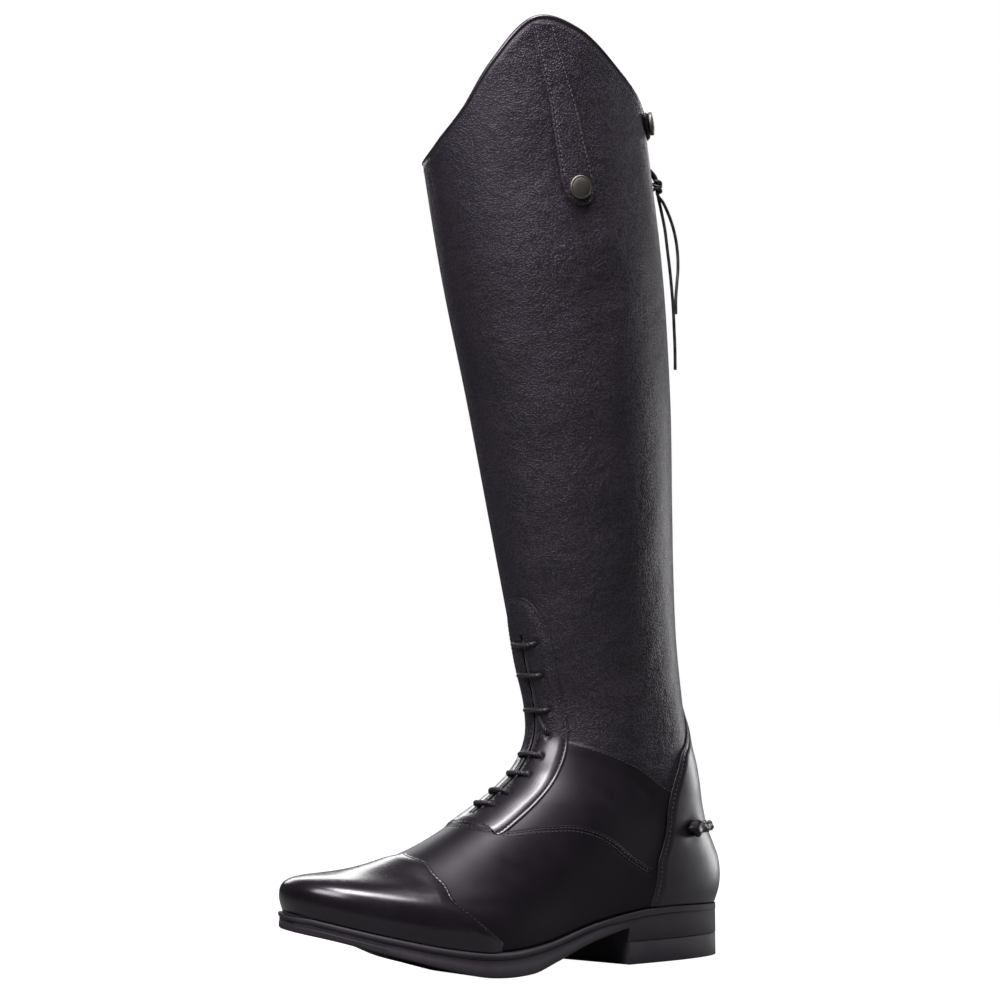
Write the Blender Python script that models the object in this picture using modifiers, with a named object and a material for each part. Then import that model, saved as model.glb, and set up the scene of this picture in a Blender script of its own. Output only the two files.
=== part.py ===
"""Tall field boot for the left foot, standing empty on its sole.

The leather is one set of rings that runs from the sole's edge up to the collar. Each ring is an
oval between a back point and a front point, and its sizes come from the tables below. The frame is
+X to the toe, +Y to the outer side of the leg and +Z up, with the floor at zero.
"""

import bmesh
import bpy
import mathutils
import numpy as np
from collections import namedtuple

MM = 0.001

# Overall sizes in millimetres
SHAFT_PEAK = 512.0
LEATHER = 2.0
OVERLAY = 1.2
SEAT_GAP = 0.6
HEEL_SEAT_GAP = 1.05
CAP_SEAT_GAP = 0.9
JOINT_GAP = 0.3
SOLE_GAP = 0.75
CENTRE_X = 138.1
CENTRE_Y = 1.3

# Rings of the foot, from the sole's edge to the ankle
FootRing = namedtuple("FootRing", "back_x back_z front_x front_z dip back_r heel_w waist_w ball_w front_r")
FOOT_RINGS = (
    FootRing(1.5, 29.5, 277.0, 29.8, 1.00, 29.0, 29.5, 32.0, 43.5, 28.0),
    FootRing(-2.0, 38.0, 279.0, 38.5, 0.98, 30.0, 30.5, 34.0, 45.5, 28.0),
    FootRing(-3.0, 46.0, 277.0, 46.8, 0.92, 30.0, 30.5, 35.0, 44.5, 26.0),
    FootRing(-2.0, 54.0, 267.0, 52.5, 0.84, 29.0, 30.0, 35.5, 41.0, 23.0),
    FootRing(1.0, 61.0, 240.5, 59.2, 0.68, 28.0, 29.5, 35.5, 37.5, 19.5),
    FootRing(4.5, 68.0, 209.5, 70.4, 0.48, 27.0, 29.0, 35.0, 34.5, 18.0),
    FootRing(7.5, 76.0, 181.5, 81.4, 0.30, 26.0, 28.5, 34.5, 32.5, 18.0),
    FootRing(10.0, 85.0, 156.0, 92.6, 0.15, 25.0, 28.0, 34.0, 31.0, 18.0),
    FootRing(12.0, 95.0, 134.0, 106.3, 0.05, 24.0, 27.5, 33.5, 30.5, 18.0),
    FootRing(14.5, 106.0, 121.5, 124.0, 0.00, 23.0, 26.5, 33.5, 31.0, 19.0),
    FootRing(18.5, 121.0, 120.5, 143.0, 0.00, 22.5, 26.0, 34.0, 32.0, 21.0),
)

# Rings of the leg, level with the floor
LegRing = namedtuple("LegRing", "height back_x front_x half_w")
LEG_RINGS = (
    LegRing(166.0, 24.5, 125.5, 36.5),
    LegRing(200.0, 28.0, 132.0, 40.0),
    LegRing(250.0, 31.0, 141.0, 46.0),
    LegRing(310.0, 33.5, 152.5, 52.0),
    LegRing(380.0, 38.5, 169.0, 55.5),
    LegRing(450.0, 48.0, 182.5, 56.0),
    LegRing(530.0, 60.0, 196.0, 56.0),
)

# Sole, seen from the side: distance from the heel, then height
Mark = namedtuple("Mark", "at value")
SOLE_TOP = tuple(Mark(*m) for m in (
    (0, 29.5), (76, 29.5), (110, 24.5), (145, 16.5), (180, 13.5), (212, 16.2), (245, 22.0), (278, 29.8),
))
SOLE_BOTTOM = tuple(Mark(*m) for m in (
    (87, 20.0), (98, 17.4), (110, 14.5), (140, 5.2), (158, 0.6), (166, 0.0), (192, 0.0), (200, 0.8),
    (212, 2.5), (245, 10.4), (272, 18.8), (286, 21.8),
))
SWING = tuple(Mark(*m) for m in ((0, 0.0), (60, 1.0), (120, 3.0), (185, 0.0), (278, -11.0)))

# Twist of the last: the inner side of the forefoot lifts off the floor
TWIST_LIFT = 12.0
TWIST_X = (168.0, 246.0)
TWIST_Z = (25.0, 85.0)
TWIST_OUTER = 54.0
TWIST_WIDE = 110.0

# Layers of the sole
WELT_THICK = 3.2
OUTSOLE_HEEL = 20.0
HEEL_LENGTH = 84.5
TOP_PIECE = 12.5
INSOLE_THICK = 3.0
INSOLE_IN = 3.0
INSOLE_LIFT = 0.2
WELT_OUT = 4.2
WELT_OUT_BACK = 3.2
OUTSOLE_IN = 0.9
HEEL_IN = 0.3
TOP_PIECE_IN = 0.5
SOLE_LEAST = 5.6
TREAD_PITCH = 11.0
TREAD_WIDE = 2.2
TREAD_DEEP = 1.2
TREAD_SLOPE = 0.4
FORE_TREAD = (124.0, 240.0)
HEEL_TREAD = (18.0, 78.0)
STATION_CLEAR = 1.2

# Collar height by direction: 0 is the back, 90 the outer side, 180 the front, 270 the inner side
COLLAR = tuple(Mark(*m) for m in (
    (0, 468), (40, 470), (70, 487), (95, 507), (115, SHAFT_PEAK), (140, 489), (160, 464), (180, 449),
    (230, 440), (300, 452), (360, 468),
))

# Seams, by direction and ring number
SHAFT_EDGE = tuple(Mark(*m) for m in (
    (0, 7.4), (70, 7.75), (93, 8.47), (114, 8.8), (138, 9.0), (180, 9.15),
))
SEAM_ROWS = 0.03
CAP_FOOT = 0.22
CAP_EDGE = tuple(Mark(*m) for m in ((108, 0.6), (116, 1.88), (127, 3.25), (149, 4.48), (180, 5.0)))
COUNTER_SPAN = tuple(Mark(*m) for m in (
    (0.12, 58.7), (2.5, 58.3), (5.4, 61.5), (7.0, 66.5), (7.65, 67.5), (8.6, 65), (9.5, 56), (10.15, 36),
    (10.45, 20), (10.7, 9),
))
COUNTER_ROWS = (0.15, 1.28, 2.4, 3.52, 4.65, 5.78, 6.9, 7.65, 8.6, 9.4, 10.0, 10.4, 10.65)
SLIT_HALF = 5.0
SLIT_ROW = 6.6
ZIP_HALF = 4.0
STAY_OUTER = (
    (180, 12.05), (168, 12.0), (158, 11.75), (153, 11.3), (152, 10.7), (151, 10.1), (149, 9.5), (147, 8.9),
    (145.5, 8.4), (144, 7.9), (142, 7.3), (141, 6.5), (141.5, 5.85), (148, 5.98),
    (156, 6.12), (164, 6.2), (172, 6.24), (180, 6.25),
)
STAY_INNER = (
    (0.0, 11.8), (2.8, 11.8), (4.6, 11.7), (5.0, 11.3), (5.0, 10.7), (5.0, 10.1), (5.0, 9.5), (5.0, 8.9),
    (5.0, 8.4), (5.0, 7.9), (5.0, 7.35), (5.0, 7.05), (5.0, 6.9), (4.9, 6.78), (4.5, 6.7),
    (3.4, 6.64), (1.8, 6.6), (0.0, 6.6),
)

# Tongue, lace, studs, strap, zip and cord
TONGUE_ROWS = (6.25, 12.2)
TONGUE_HALF = 14.0
TONGUE_THICK = 1.6
LACE_R = 1.4
LACE_REACH = 9.5
LACE_LIFT = 0.95
LACE_ROWS = (11.62, 11.33, 10.75, 9.93, 9.25, 8.6, 7.98, 7.4, 6.9)
STRAP = tuple(Mark(*m) for m in (
    (413, 106.6), (427, 106.5), (446, 107.5), (469, 108.5), (490, 111.0), (512, 113.3),
))
STRAP_HALF = tuple(Mark(*m) for m in (
    (413, 2.5), (415, 5.6), (419, 7.8), (425, 8.6), (446, 8.0), (480, 6.8), (512, 6.0),
))
STRAP_STATIONS = (
    413.2, 414.5, 416.5, 419.0, 422.5, 427.0, 435.0, 445.4, 455.9, 466.3, 476.7, 487.1, 497.6, 508.0,
)
LEG_RADIUS = 60.0
STUD_R = 6.6
STUD_PROFILE = ((0, 0), (STUD_R, 0), (STUD_R, 1.0), (STUD_R - 0.7, 1.7), (STUD_R - 2.0, 2.2), (0, 2.6))
STUD_Z = 423.0
STUD_TURN = 106.5
STUD_GAP = 0.45
ZIP_FOOT_ROW = 10.8
ZIP_CLEAR = 0.45
ZIP_TOP = 460.0
ZIP_SUNK = 0.2
ZIP_THICK = 1.4
SLIDER_Z = 447.5
SLIDER_SIZE = (3.6, 6.6, 9.0)
SLIDER_OUT = 2.35
SLIDER_ROUND = 0.8
TAB_TURNS = (-34.0, 47.0)
TAB_STUD_TURN = 39.0
TAB_DROP = 6.6
TAB_HALF = 5.7
TAB_SEAT_GAP = 0.9
TAB_THICK = 1.6
PIPING_R = 1.7
PIPING_LIFT = 0.55
PIPING_CLEAR = 1.5
CORD_R = 0.9
KNOT_AT = (31.6, 7.2, 432.6)
KNOT_PROFILE = ((0, -4.2), (2.0, -3.6), (3.0, -1.6), (3.1, 0.6), (2.4, 2.8), (0, 3.6))
PULL_LOOP = ((42.7, 0.5, 447.1), (39.2, 2.6, 445.6), (35.6, 4.9, 441.8), (32.5, 6.7, 436.9))
STRAND_LONG = (
    (30.5, 6.6, 427.9), (29.0, 7.2, 420.0), (27.5, 8.6, 409.0), (27.1, 10.0, 397.6), (26.7, 11.4, 386.0),
    (26.7, 12.8, 374.8), (27.0, 14.2, 363.0), (27.8, 15.6, 352.0), (28.5, 16.8, 340.6), (29.6, 18.0, 328.6),
)
STRAND_BOWED = (
    (32.2, 8.2, 427.9), (29.0, 9.2, 423.5), (26.2, 9.9, 418.0), (23.6, 10.7, 411.0), (21.9, 11.5, 403.0),
    (21.5, 12.4, 395.0), (22.6, 13.8, 386.0), (25.2, 15.6, 377.5), (27.6, 17.2, 369.0), (29.0, 18.6, 360.0),
)
SPUR_R = 1.8
SPUR_TURN = 47.0
SPUR_ROW = 5.42
SPUR_POINTS = 17
SPUR_LIFT = 0.45


def smooth(marks, at):
    """A smooth curve through a table of marks, read at one place or many."""
    xs = np.array([m[0] for m in marks], float)
    ys = np.array([m[1] for m in marks], float)
    return hermite(xs, ys, np.clip(at, xs[0], xs[-1]))


def hermite(xs, ys, at):
    slope = np.gradient(ys, xs, axis=0)
    at = np.asarray(at, float)
    i = np.clip(np.searchsorted(xs, at) - 1, 0, len(xs) - 2)
    span = xs[i + 1] - xs[i]
    t = (at - xs[i]) / span
    if ys.ndim > 1:
        span = span[..., None]
        t = t[..., None]
    start = (2 * t**3 - 3 * t**2 + 1) * ys[i] + (t**3 - 2 * t**2 + t) * span * slope[i]
    return start + (3 * t**2 - 2 * t**3) * ys[i + 1] + (t**3 - t**2) * span * slope[i + 1]


# Where a ring's widths are set, as an angle from its back point
WIDTH_AT = np.radians([0.0, 45.6, 84.3, 113.6, 180.0])


def ring_row(ring):
    """A foot ring as back and front points, dip, and five spreads from heel to toe."""
    length = ring.front_x - ring.back_x
    sides = [w / np.sin(a) for w, a in zip((ring.heel_w, ring.waist_w, ring.ball_w), WIDTH_AT[1:4])]
    spreads = [np.sqrt(ring.back_r * length / 2), *sides, np.sqrt(ring.front_r * length / 2)]
    return [ring.back_x, ring.back_z, ring.front_x, ring.front_z, ring.dip, *spreads]


def leg_row(ring):
    return [ring.back_x, ring.height, ring.front_x, ring.height, 0.0] + [ring.half_w] * 5


ROWS = np.array([ring_row(r) for r in FOOT_RINGS] + [leg_row(r) for r in LEG_RINGS])
FIRST_LEG = len(FOOT_RINGS)


def dip_below_chord(x):
    """How far the sole's top lies from the straight line between heel and toe."""
    heel = FOOT_RINGS[0]
    share = (x - heel.back_x) / (heel.front_x - heel.back_x)
    return smooth(SOLE_TOP, x) - (heel.back_z + share * (heel.front_z - heel.back_z))


def spread_at(spreads, angle):
    slope = np.gradient(spreads, WIDTH_AT, axis=-1)
    i = np.clip(np.searchsorted(WIDTH_AT, angle) - 1, 0, len(WIDTH_AT) - 2)
    span = WIDTH_AT[i + 1] - WIDTH_AT[i]
    t = (angle - WIDTH_AT[i]) / span

    def take(table, k):
        return np.take_along_axis(table, k[..., None], -1)[..., 0]

    start = (2 * t**3 - 3 * t**2 + 1) * take(spreads, i) + (t**3 - 2 * t**2 + t) * span * take(slope, i)
    return start + (3 * t**2 - 2 * t**3) * take(spreads, i + 1) + (t**3 - t**2) * span * take(slope, i + 1)


def oval(row, turn):
    """Points of rings given as full rows, at a direction in degrees."""
    angle = np.radians(np.abs((turn + 180.0) % 360.0 - 180.0))
    share = (1 - np.cos(angle)) / 2
    x = row[..., 0] + share * (row[..., 2] - row[..., 0])
    z = row[..., 1] + share * (row[..., 3] - row[..., 1]) + row[..., 4] * dip_below_chord(x)
    y = np.sin(np.radians(turn)) * spread_at(row[..., 5:], angle)
    return x, y, z


def skin(number, turn):
    """A point of the leather's outer face, by ring number and direction."""
    number, turn = np.broadcast_arrays(np.asarray(number, float), np.asarray(turn, float))
    x, y, z = oval(hermite(np.arange(len(ROWS), dtype=float), ROWS, number), turn)
    y = y + smooth(SWING, x) * np.clip((FIRST_LEG - number) / 4, 0, 1)
    return np.stack([x, y, z], -1)


def skin_out(number, turn, out):
    """The leather's face moved out along its own normal."""
    step = 0.02
    across = skin(number, np.asarray(turn) + 0.5) - skin(number, np.asarray(turn) - 0.5)
    along = skin(np.asarray(number) + step, turn) - skin(np.asarray(number) - step, turn)
    normal = np.cross(along, across)
    return skin(number, turn) + out * normal / np.linalg.norm(normal, axis=-1, keepdims=True)


def row_at_height(height):
    heights = ROWS[FIRST_LEG:, 1]
    return np.interp(height, heights, np.arange(FIRST_LEG, len(ROWS)))


def collar_height(turn):
    marks = [Mark(m.at + 360 * k, m.value) for k in (-1, 0, 1) for m in COLLAR[:-1]]
    return smooth(marks, np.asarray(turn, float) % 360.0)


def edge_row(turn):
    """Ring number of the seam between the foot and the shaft."""
    return smooth(SHAFT_EDGE, np.abs((np.asarray(turn) + 180.0) % 360.0 - 180.0))


def turn_from_front(number, reach):
    """Direction that lies a given distance in millimetres from the front centre line."""
    front = hermite(np.arange(len(ROWS), dtype=float), ROWS, number)[..., 9]
    return 180.0 - np.degrees(np.arcsin(np.clip(np.asarray(reach) / front, -1, 1)))


def turn_from_back(number, reach):
    back = hermite(np.arange(len(ROWS), dtype=float), ROWS, number)[..., 5]
    return np.degrees(np.arcsin(np.clip(np.asarray(reach) / back, -1, 1)))


for leftover in list(bpy.data.objects):
    bpy.data.objects.remove(leftover, do_unlink=True)
boot = bpy.data.collections.new("field_boot")
bpy.context.scene.collection.children.link(boot)


def material(name, colour, rough, metal=0.0):
    made = bpy.data.materials.get(name) or bpy.data.materials.new(name)
    made.use_nodes = True
    shader = made.node_tree.nodes["Principled BSDF"]
    shader.inputs["Base Color"].default_value = (*colour, 1.0)
    shader.inputs["Roughness"].default_value = rough
    shader.inputs["Metallic"].default_value = metal
    return made


GRAIN_LEATHER = material("grained_leather", (0.028, 0.025, 0.030), 0.55)
CALF_LEATHER = material("smooth_leather", (0.012, 0.011, 0.013), 0.25)
RUBBER = material("black_rubber", (0.020, 0.020, 0.021), 0.6)
WOVEN = material("woven_elastic", (0.018, 0.018, 0.019), 0.8)
INSOLE_BOARD = material("insole_leather", (0.10, 0.075, 0.05), 0.7)
LACE_CORD = material("waxed_cord", (0.015, 0.015, 0.016), 0.6)
GUNMETAL = material("gunmetal", (0.16, 0.14, 0.12), 0.35, 1.0)
NYLON = material("black_nylon", (0.014, 0.014, 0.015), 0.45)


def ease(value, low, high):
    """A soft step from 0 to 1 between two values."""
    share = np.clip((value - low) / (high - low), 0, 1)
    return share * share * (3 - 2 * share)


def place(points):
    """Millimetre points as metres about the centre of the boot's box, with the forefoot's twist."""
    points = np.array(points, float)
    x, y, z = np.moveaxis(points, -1, 0)
    inner = np.clip((TWIST_OUTER - y) / TWIST_WIDE, 0, 1)
    lift = TWIST_LIFT * ease(x, *TWIST_X) * inner * (1 - ease(z, *TWIST_Z))
    points[..., 2] += lift
    return (points - (CENTRE_X, CENTRE_Y, 0.0)) * MM


def add_object(name, mesh, made_of):
    mesh.materials.append(made_of)
    obj = bpy.data.objects.new(name, mesh)
    boot.objects.link(obj)
    return obj


def loft(points, closed_across=False, skip=None):
    """A mesh from a grid of points, with the faces listed in skip left out."""
    count, wide = points.shape[:2]
    faces = []
    for i in range(count - 1):
        for j in range(wide if closed_across else wide - 1):
            if skip and skip(i, j):
                continue
            k = (j + 1) % wide
            faces.append((i * wide + j, i * wide + k, (i + 1) * wide + k, (i + 1) * wide + j))
    mesh = bpy.data.meshes.new("loft")
    mesh.from_pydata(place(points.reshape(-1, 3)).tolist(), [], faces)
    tidy = bmesh.new()
    tidy.from_mesh(mesh)
    loose = [v for v in tidy.verts if not v.link_faces]
    bmesh.ops.delete(tidy, geom=loose, context="VERTS")
    bmesh.ops.recalc_face_normals(tidy, faces=tidy.faces)
    tidy.to_mesh(mesh)
    tidy.free()
    return mesh


def leather(name, numbers, turns, out, thick, made_of, outward=False, closed_across=False, skip=None):
    """A sheet of even thickness on a grid of ring numbers and directions."""
    numbers, turns = np.broadcast_arrays(np.asarray(numbers, float), np.asarray(turns, float))
    points = skin_out(numbers, turns, out)
    facing = (skin_out(numbers, turns, out + 1.0) - points).reshape(-1, 3)
    mesh = loft(points, closed_across, skip)
    places = place(points.reshape(-1, 3))
    lean = 0.0
    for face in list(mesh.polygons)[:: max(1, len(mesh.polygons) // 40)]:
        nearest = int(np.argmin(((places - np.array(face.center)) ** 2).sum(1)))
        lean += float(facing[nearest] @ np.array(face.normal))
    if lean < 0:
        mesh.flip_normals()
    obj = add_object(name, mesh, made_of)
    wall = obj.modifiers.new("wall", "SOLIDIFY")
    wall.thickness = thick * MM
    wall.offset = 1.0 if outward else -1.0
    wall.use_even_offset = True
    wall.use_quality_normals = True
    return obj


# Columns round the leather: the zip's two edges at the back and the throat's two edges in front
COLUMNS = 18


def column_turns(number_of_turn):
    """Directions round one ring, with lines on the edges of the zip and of the throat."""
    start = turn_from_back(number_of_turn(0.0), ZIP_HALF)
    stop = turn_from_front(number_of_turn(180.0), SLIT_HALF)
    side = np.linspace(start, stop, COLUMNS + 1)
    return np.concatenate([[0.0], side, [180.0], 360.0 - side[::-1]])


def foot_row(share):
    return lambda turn: share * edge_row(turn)


def shaft_row(share):
    def number(turn):
        low = edge_row(turn) + SEAM_ROWS
        return low + share * (row_at_height(collar_height(turn)) - low)

    return number


# Foot of the upper, from the sole's edge to the seam under the shaft
SLIT_SHARE = SLIT_ROW / SHAFT_EDGE[-1].value
FOOT_SHARES = np.concatenate([
    np.linspace(0, 0.30, 7), np.linspace(0.36, SLIT_SHARE, 6), [0.80, 0.87, 0.94, 1.0],
])
foot_turns = np.array([column_turns(foot_row(share)) for share in FOOT_SHARES])
foot_rows = FOOT_SHARES[:, None] * edge_row(foot_turns)
throat_line = int(np.argmin(np.abs(FOOT_SHARES - SLIT_SHARE)))
front_columns = (COLUMNS + 1, COLUMNS + 2)
leather(
    "upper", foot_rows, foot_turns, 0.0, LEATHER, CALF_LEATHER, closed_across=True,
    skip=lambda i, j: i >= throat_line and j in front_columns,
)

# Shaft, open at the back for the zip and at the foot of its front for the lacing
SHAFT_SHARES = np.concatenate([np.linspace(0, 0.38, 7), np.linspace(0.38, 1.0, 10)[1:]])
SPLIT = 6
shaft_turns = np.array([column_turns(shaft_row(share)) for share in SHAFT_SHARES])
shaft_rows = np.array([shaft_row(share)(turns) for share, turns in zip(SHAFT_SHARES, shaft_turns)])
back_columns = (0, 2 * COLUMNS + 3)
leather(
    "shaft", shaft_rows, shaft_turns, 0.0, LEATHER, GRAIN_LEATHER, closed_across=True,
    skip=lambda i, j: (i < SPLIT and j in front_columns) or (i >= SPLIT and j in back_columns),
)

# Toe cap over the front of the foot
cap_turns = np.linspace(CAP_EDGE[0].at, 360 - CAP_EDGE[0].at, 23)
cap_top = smooth(CAP_EDGE, np.abs((cap_turns + 180) % 360 - 180))
cap_rows = CAP_FOOT + (cap_top - CAP_FOOT) * np.linspace(0, 1, 9)[:, None]
leather("toe_cap", cap_rows, cap_turns, CAP_SEAT_GAP, OVERLAY, CALF_LEATHER, outward=True)

# Heel counter, a leaf that runs up the back to the foot of the zip
counter_rows = np.array(COUNTER_ROWS)[:, None]
counter_turns = np.linspace(-1, 1, 17) * smooth(COUNTER_SPAN, counter_rows)
leather("heel_counter", counter_rows, counter_turns, HEEL_SEAT_GAP, OVERLAY, CALF_LEATHER, outward=True)


# Eyestay, a frame of leather round the throat
def stay_loop(points, by_reach):
    half = []
    for value, number in points:
        half.append((turn_from_front(number, value) if by_reach else value, number))
    half += [(360.0 - t, n) for t, n in half[-2:0:-1]]
    return np.array(half, float)


inner = stay_loop(STAY_INNER, True)
outer = stay_loop(STAY_OUTER, False)
stay = np.array([inner + (outer - inner) * s for s in np.linspace(0, 1, 5)])
leather(
    "eyestay", stay[..., 1], stay[..., 0], SEAT_GAP, OVERLAY, CALF_LEATHER, outward=True, closed_across=True,
)

# Tongue behind the throat
tongue_rows = np.linspace(*TONGUE_ROWS, 13)[:, None]
tongue_turns = turn_from_front(tongue_rows, np.linspace(-TONGUE_HALF, TONGUE_HALF, 7))
leather("tongue", tongue_rows, tongue_turns, -(LEATHER + SEAT_GAP), TONGUE_THICK, WOVEN)


def tube(name, points, radius, made_of, roundness=2):
    """A round cord along a line of points."""
    curve = bpy.data.curves.new(name, "CURVE")
    curve.dimensions = "3D"
    curve.bevel_depth = radius * MM
    curve.bevel_resolution = roundness
    curve.use_fill_caps = True
    line = curve.splines.new("POLY")
    line.points.add(len(points) - 1)
    for point, at in zip(line.points, place(points)):
        point.co = (*at, 1.0)
    return add_object(name, curve, made_of)


# Lace, laid as level bars over the throat
LACE_OUT = SEAT_GAP + OVERLAY + LACE_R + LACE_LIFT
lace_path = []
for k, number in enumerate(LACE_ROWS):
    reach = np.linspace(-LACE_REACH, LACE_REACH, 5)
    bar = skin_out(np.full(5, number), turn_from_front(number, reach), LACE_OUT)
    lace_path.extend(bar if k % 2 else bar[::-1])
    if k + 1 < len(LACE_ROWS):
        side = LACE_REACH if k % 2 else -LACE_REACH
        between = np.linspace(number, LACE_ROWS[k + 1], 3)[1:-1]
        lace_path.extend(skin_out(between, turn_from_front(between, side), LACE_OUT))
tube("lace", np.array(lace_path), LACE_R, LACE_CORD, roundness=1)

# Piping round the collar, open at the zip
pipe_start = turn_from_back(row_at_height(COLLAR[0].value), ZIP_HALF + PIPING_CLEAR)
pipe_turns = np.linspace(pipe_start, 360 - pipe_start, 47)
pipe_rows = row_at_height(collar_height(pipe_turns))
edge_line = skin_out(pipe_rows, pipe_turns, -LEATHER / 2)
edge_run = np.gradient(edge_line, axis=0)
edge_out = skin_out(pipe_rows, pipe_turns, 1.0) - skin(pipe_rows, pipe_turns)
edge_up = np.cross(edge_out, edge_run)
edge_up *= np.sign(edge_up[:, 2:]) / np.linalg.norm(edge_up, axis=1, keepdims=True)
pipe_line = edge_line + edge_up * (PIPING_R + PIPING_LIFT)
tube("collar_piping", pipe_line, PIPING_R, CALF_LEATHER, roundness=1)

# Strap down the outer side from the collar, rounded at its end
strap_heights = np.array(STRAP_STATIONS)[:, None]
strap_half = np.degrees(smooth(STRAP_HALF, strap_heights) / LEG_RADIUS)
strap_turns = smooth(STRAP, strap_heights) + np.linspace(-1, 1, 7) * strap_half
strap_rows = row_at_height(strap_heights)
leather("garter_strap", strap_rows, strap_turns, SEAT_GAP, OVERLAY, GRAIN_LEATHER, outward=True)

# Tab over the top of the zip
tab_turns = np.linspace(*TAB_TURNS, 15)
tab_middle = collar_height(tab_turns) - TAB_DROP
tab_half = TAB_HALF * np.sqrt(np.clip(1 - np.abs(np.linspace(-1, 1, 15)) ** 9, 0.12, 1))
tab_rows = row_at_height(tab_middle + np.linspace(-1, 1, 5)[:, None] * tab_half)
leather("snap_tab", tab_rows, tab_turns, TAB_SEAT_GAP, TAB_THICK, GRAIN_LEATHER, outward=True)


def lathe(name, profile, made_of, at, towards, steps=16):
    """A turned piece: profile pairs of radius and height, set on a point and facing a direction."""
    mesh = bpy.data.meshes.new(name)
    build = bmesh.new()
    line = [build.verts.new((r * MM, 0, h * MM)) for r, h in profile]
    edges = [build.edges.new(pair) for pair in zip(line, line[1:])]
    bmesh.ops.spin(
        build, geom=line + edges, cent=(0, 0, 0), axis=(0, 0, 1), angle=2 * np.pi, steps=steps,
        use_merge=True,
    )
    bmesh.ops.remove_doubles(build, verts=build.verts, dist=0.00001)
    bmesh.ops.recalc_face_normals(build, faces=build.faces)
    turn = mathutils.Vector((0, 0, 1)).rotation_difference(mathutils.Vector(towards)).to_matrix().to_4x4()
    build.transform(mathutils.Matrix.Translation(place(at)) @ turn)
    build.to_mesh(mesh)
    build.free()
    return add_object(name, mesh, made_of)


def stud(name, height, turn, under):
    number = row_at_height(height)
    seat = skin_out(number, turn, under)
    facing = seat - skin(number, turn)
    lathe(name, STUD_PROFILE, GUNMETAL, seat, facing / np.linalg.norm(facing))


stud("strap_stud", STUD_Z, STUD_TURN, SEAT_GAP + OVERLAY + STUD_GAP)
tab_stud_z = collar_height(TAB_STUD_TURN) - TAB_DROP
stud("tab_stud", tab_stud_z, TAB_STUD_TURN, TAB_SEAT_GAP + TAB_THICK + STUD_GAP)

# Zip in its slot down the back, with the slider at the top
zip_rows = np.linspace(ZIP_FOOT_ROW, row_at_height(ZIP_TOP), 16)[:, None]
zip_turns = turn_from_back(zip_rows, np.linspace(-1, 1, 3) * (ZIP_HALF - ZIP_CLEAR))
leather("zip", zip_rows, zip_turns, -ZIP_SUNK, ZIP_THICK, NYLON)

slider_seat = skin_out(row_at_height(SLIDER_Z), 0.0, 0.0)
slider_mesh = bpy.data.meshes.new("zip_slider")
slider_build = bmesh.new()
bmesh.ops.create_cube(slider_build, size=1.0)
bmesh.ops.scale(slider_build, vec=[side * MM for side in SLIDER_SIZE], verts=slider_build.verts)
bmesh.ops.bevel(
    slider_build, geom=slider_build.edges, offset=SLIDER_ROUND * MM, segments=2, affect="EDGES",
    profile=0.5, material=-1,
)
slider_at = place(slider_seat - (SLIDER_OUT, 0, 0))
bmesh.ops.translate(slider_build, vec=slider_at, verts=slider_build.verts)
slider_build.to_mesh(slider_mesh)
slider_build.free()
add_object("zip_slider", slider_mesh, GUNMETAL)

# Pull cord: a loop through the slider, a knot and two hanging strands
lathe("pull_knot", KNOT_PROFILE, LACE_CORD, KNOT_AT, (0, 0, 1), steps=12)


def eased(route, count):
    """Points at even spacing on a smooth curve through a hand-laid route."""
    route = np.array(route, float)
    run = np.concatenate([[0.0], np.cumsum(np.linalg.norm(np.diff(route, axis=0), axis=1))])
    return hermite(run, route, np.linspace(0, run[-1], count))


tube("pull_loop", eased(PULL_LOOP, 6), CORD_R, LACE_CORD)
tube("pull_strand_long", eased(STRAND_LONG, 24), CORD_R, LACE_CORD)
tube("pull_strand_bowed", eased(STRAND_BOWED, 22), CORD_R, LACE_CORD)

# Spur rest, a rolled strip round the back of the heel
spur_turns = np.linspace(-SPUR_TURN, SPUR_TURN, SPUR_POINTS)
spur_out = HEEL_SEAT_GAP + OVERLAY + SPUR_R + SPUR_LIFT
spur_line = skin_out(np.full(SPUR_POINTS, SPUR_ROW), spur_turns, spur_out)
tube("spur_rest", spur_line, SPUR_R, CALF_LEATHER)


def grown(ring, by, back=None):
    """A ring made wider all round."""
    back = by if back is None else back
    return ring._replace(
        back_x=ring.back_x - back, front_x=ring.front_x + by, back_r=ring.back_r + by,
        heel_w=ring.heel_w + by, waist_w=ring.waist_w + by, ball_w=ring.ball_w + by,
        front_r=ring.front_r + by,
    )


def plate(name, ring, top, bottom, made_of, turns):
    """A layer of the sole: outline from a ring, top and bottom heights as functions of length."""
    row = np.broadcast_to(np.array(ring_row(ring)), (len(turns), 10))
    x, out, _ = oval(row, turns)
    _, inn, _ = oval(row, 360.0 - turns)
    swing = smooth(SWING, x)
    high, low = top(x), bottom(x)
    ring_points = np.stack([
        np.stack([x, inn + swing, low], -1), np.stack([x, out + swing, low], -1),
        np.stack([x, out + swing, high], -1), np.stack([x, inn + swing, high], -1),
    ], 1)
    mesh = loft(ring_points, closed_across=True)
    ends = bmesh.new()
    ends.from_mesh(mesh)
    bmesh.ops.holes_fill(ends, edges=[e for e in ends.edges if e.is_boundary], sides=0)
    bmesh.ops.recalc_face_normals(ends, faces=ends.faces)
    ends.to_mesh(mesh)
    ends.free()
    return add_object(name, mesh, made_of)


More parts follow.
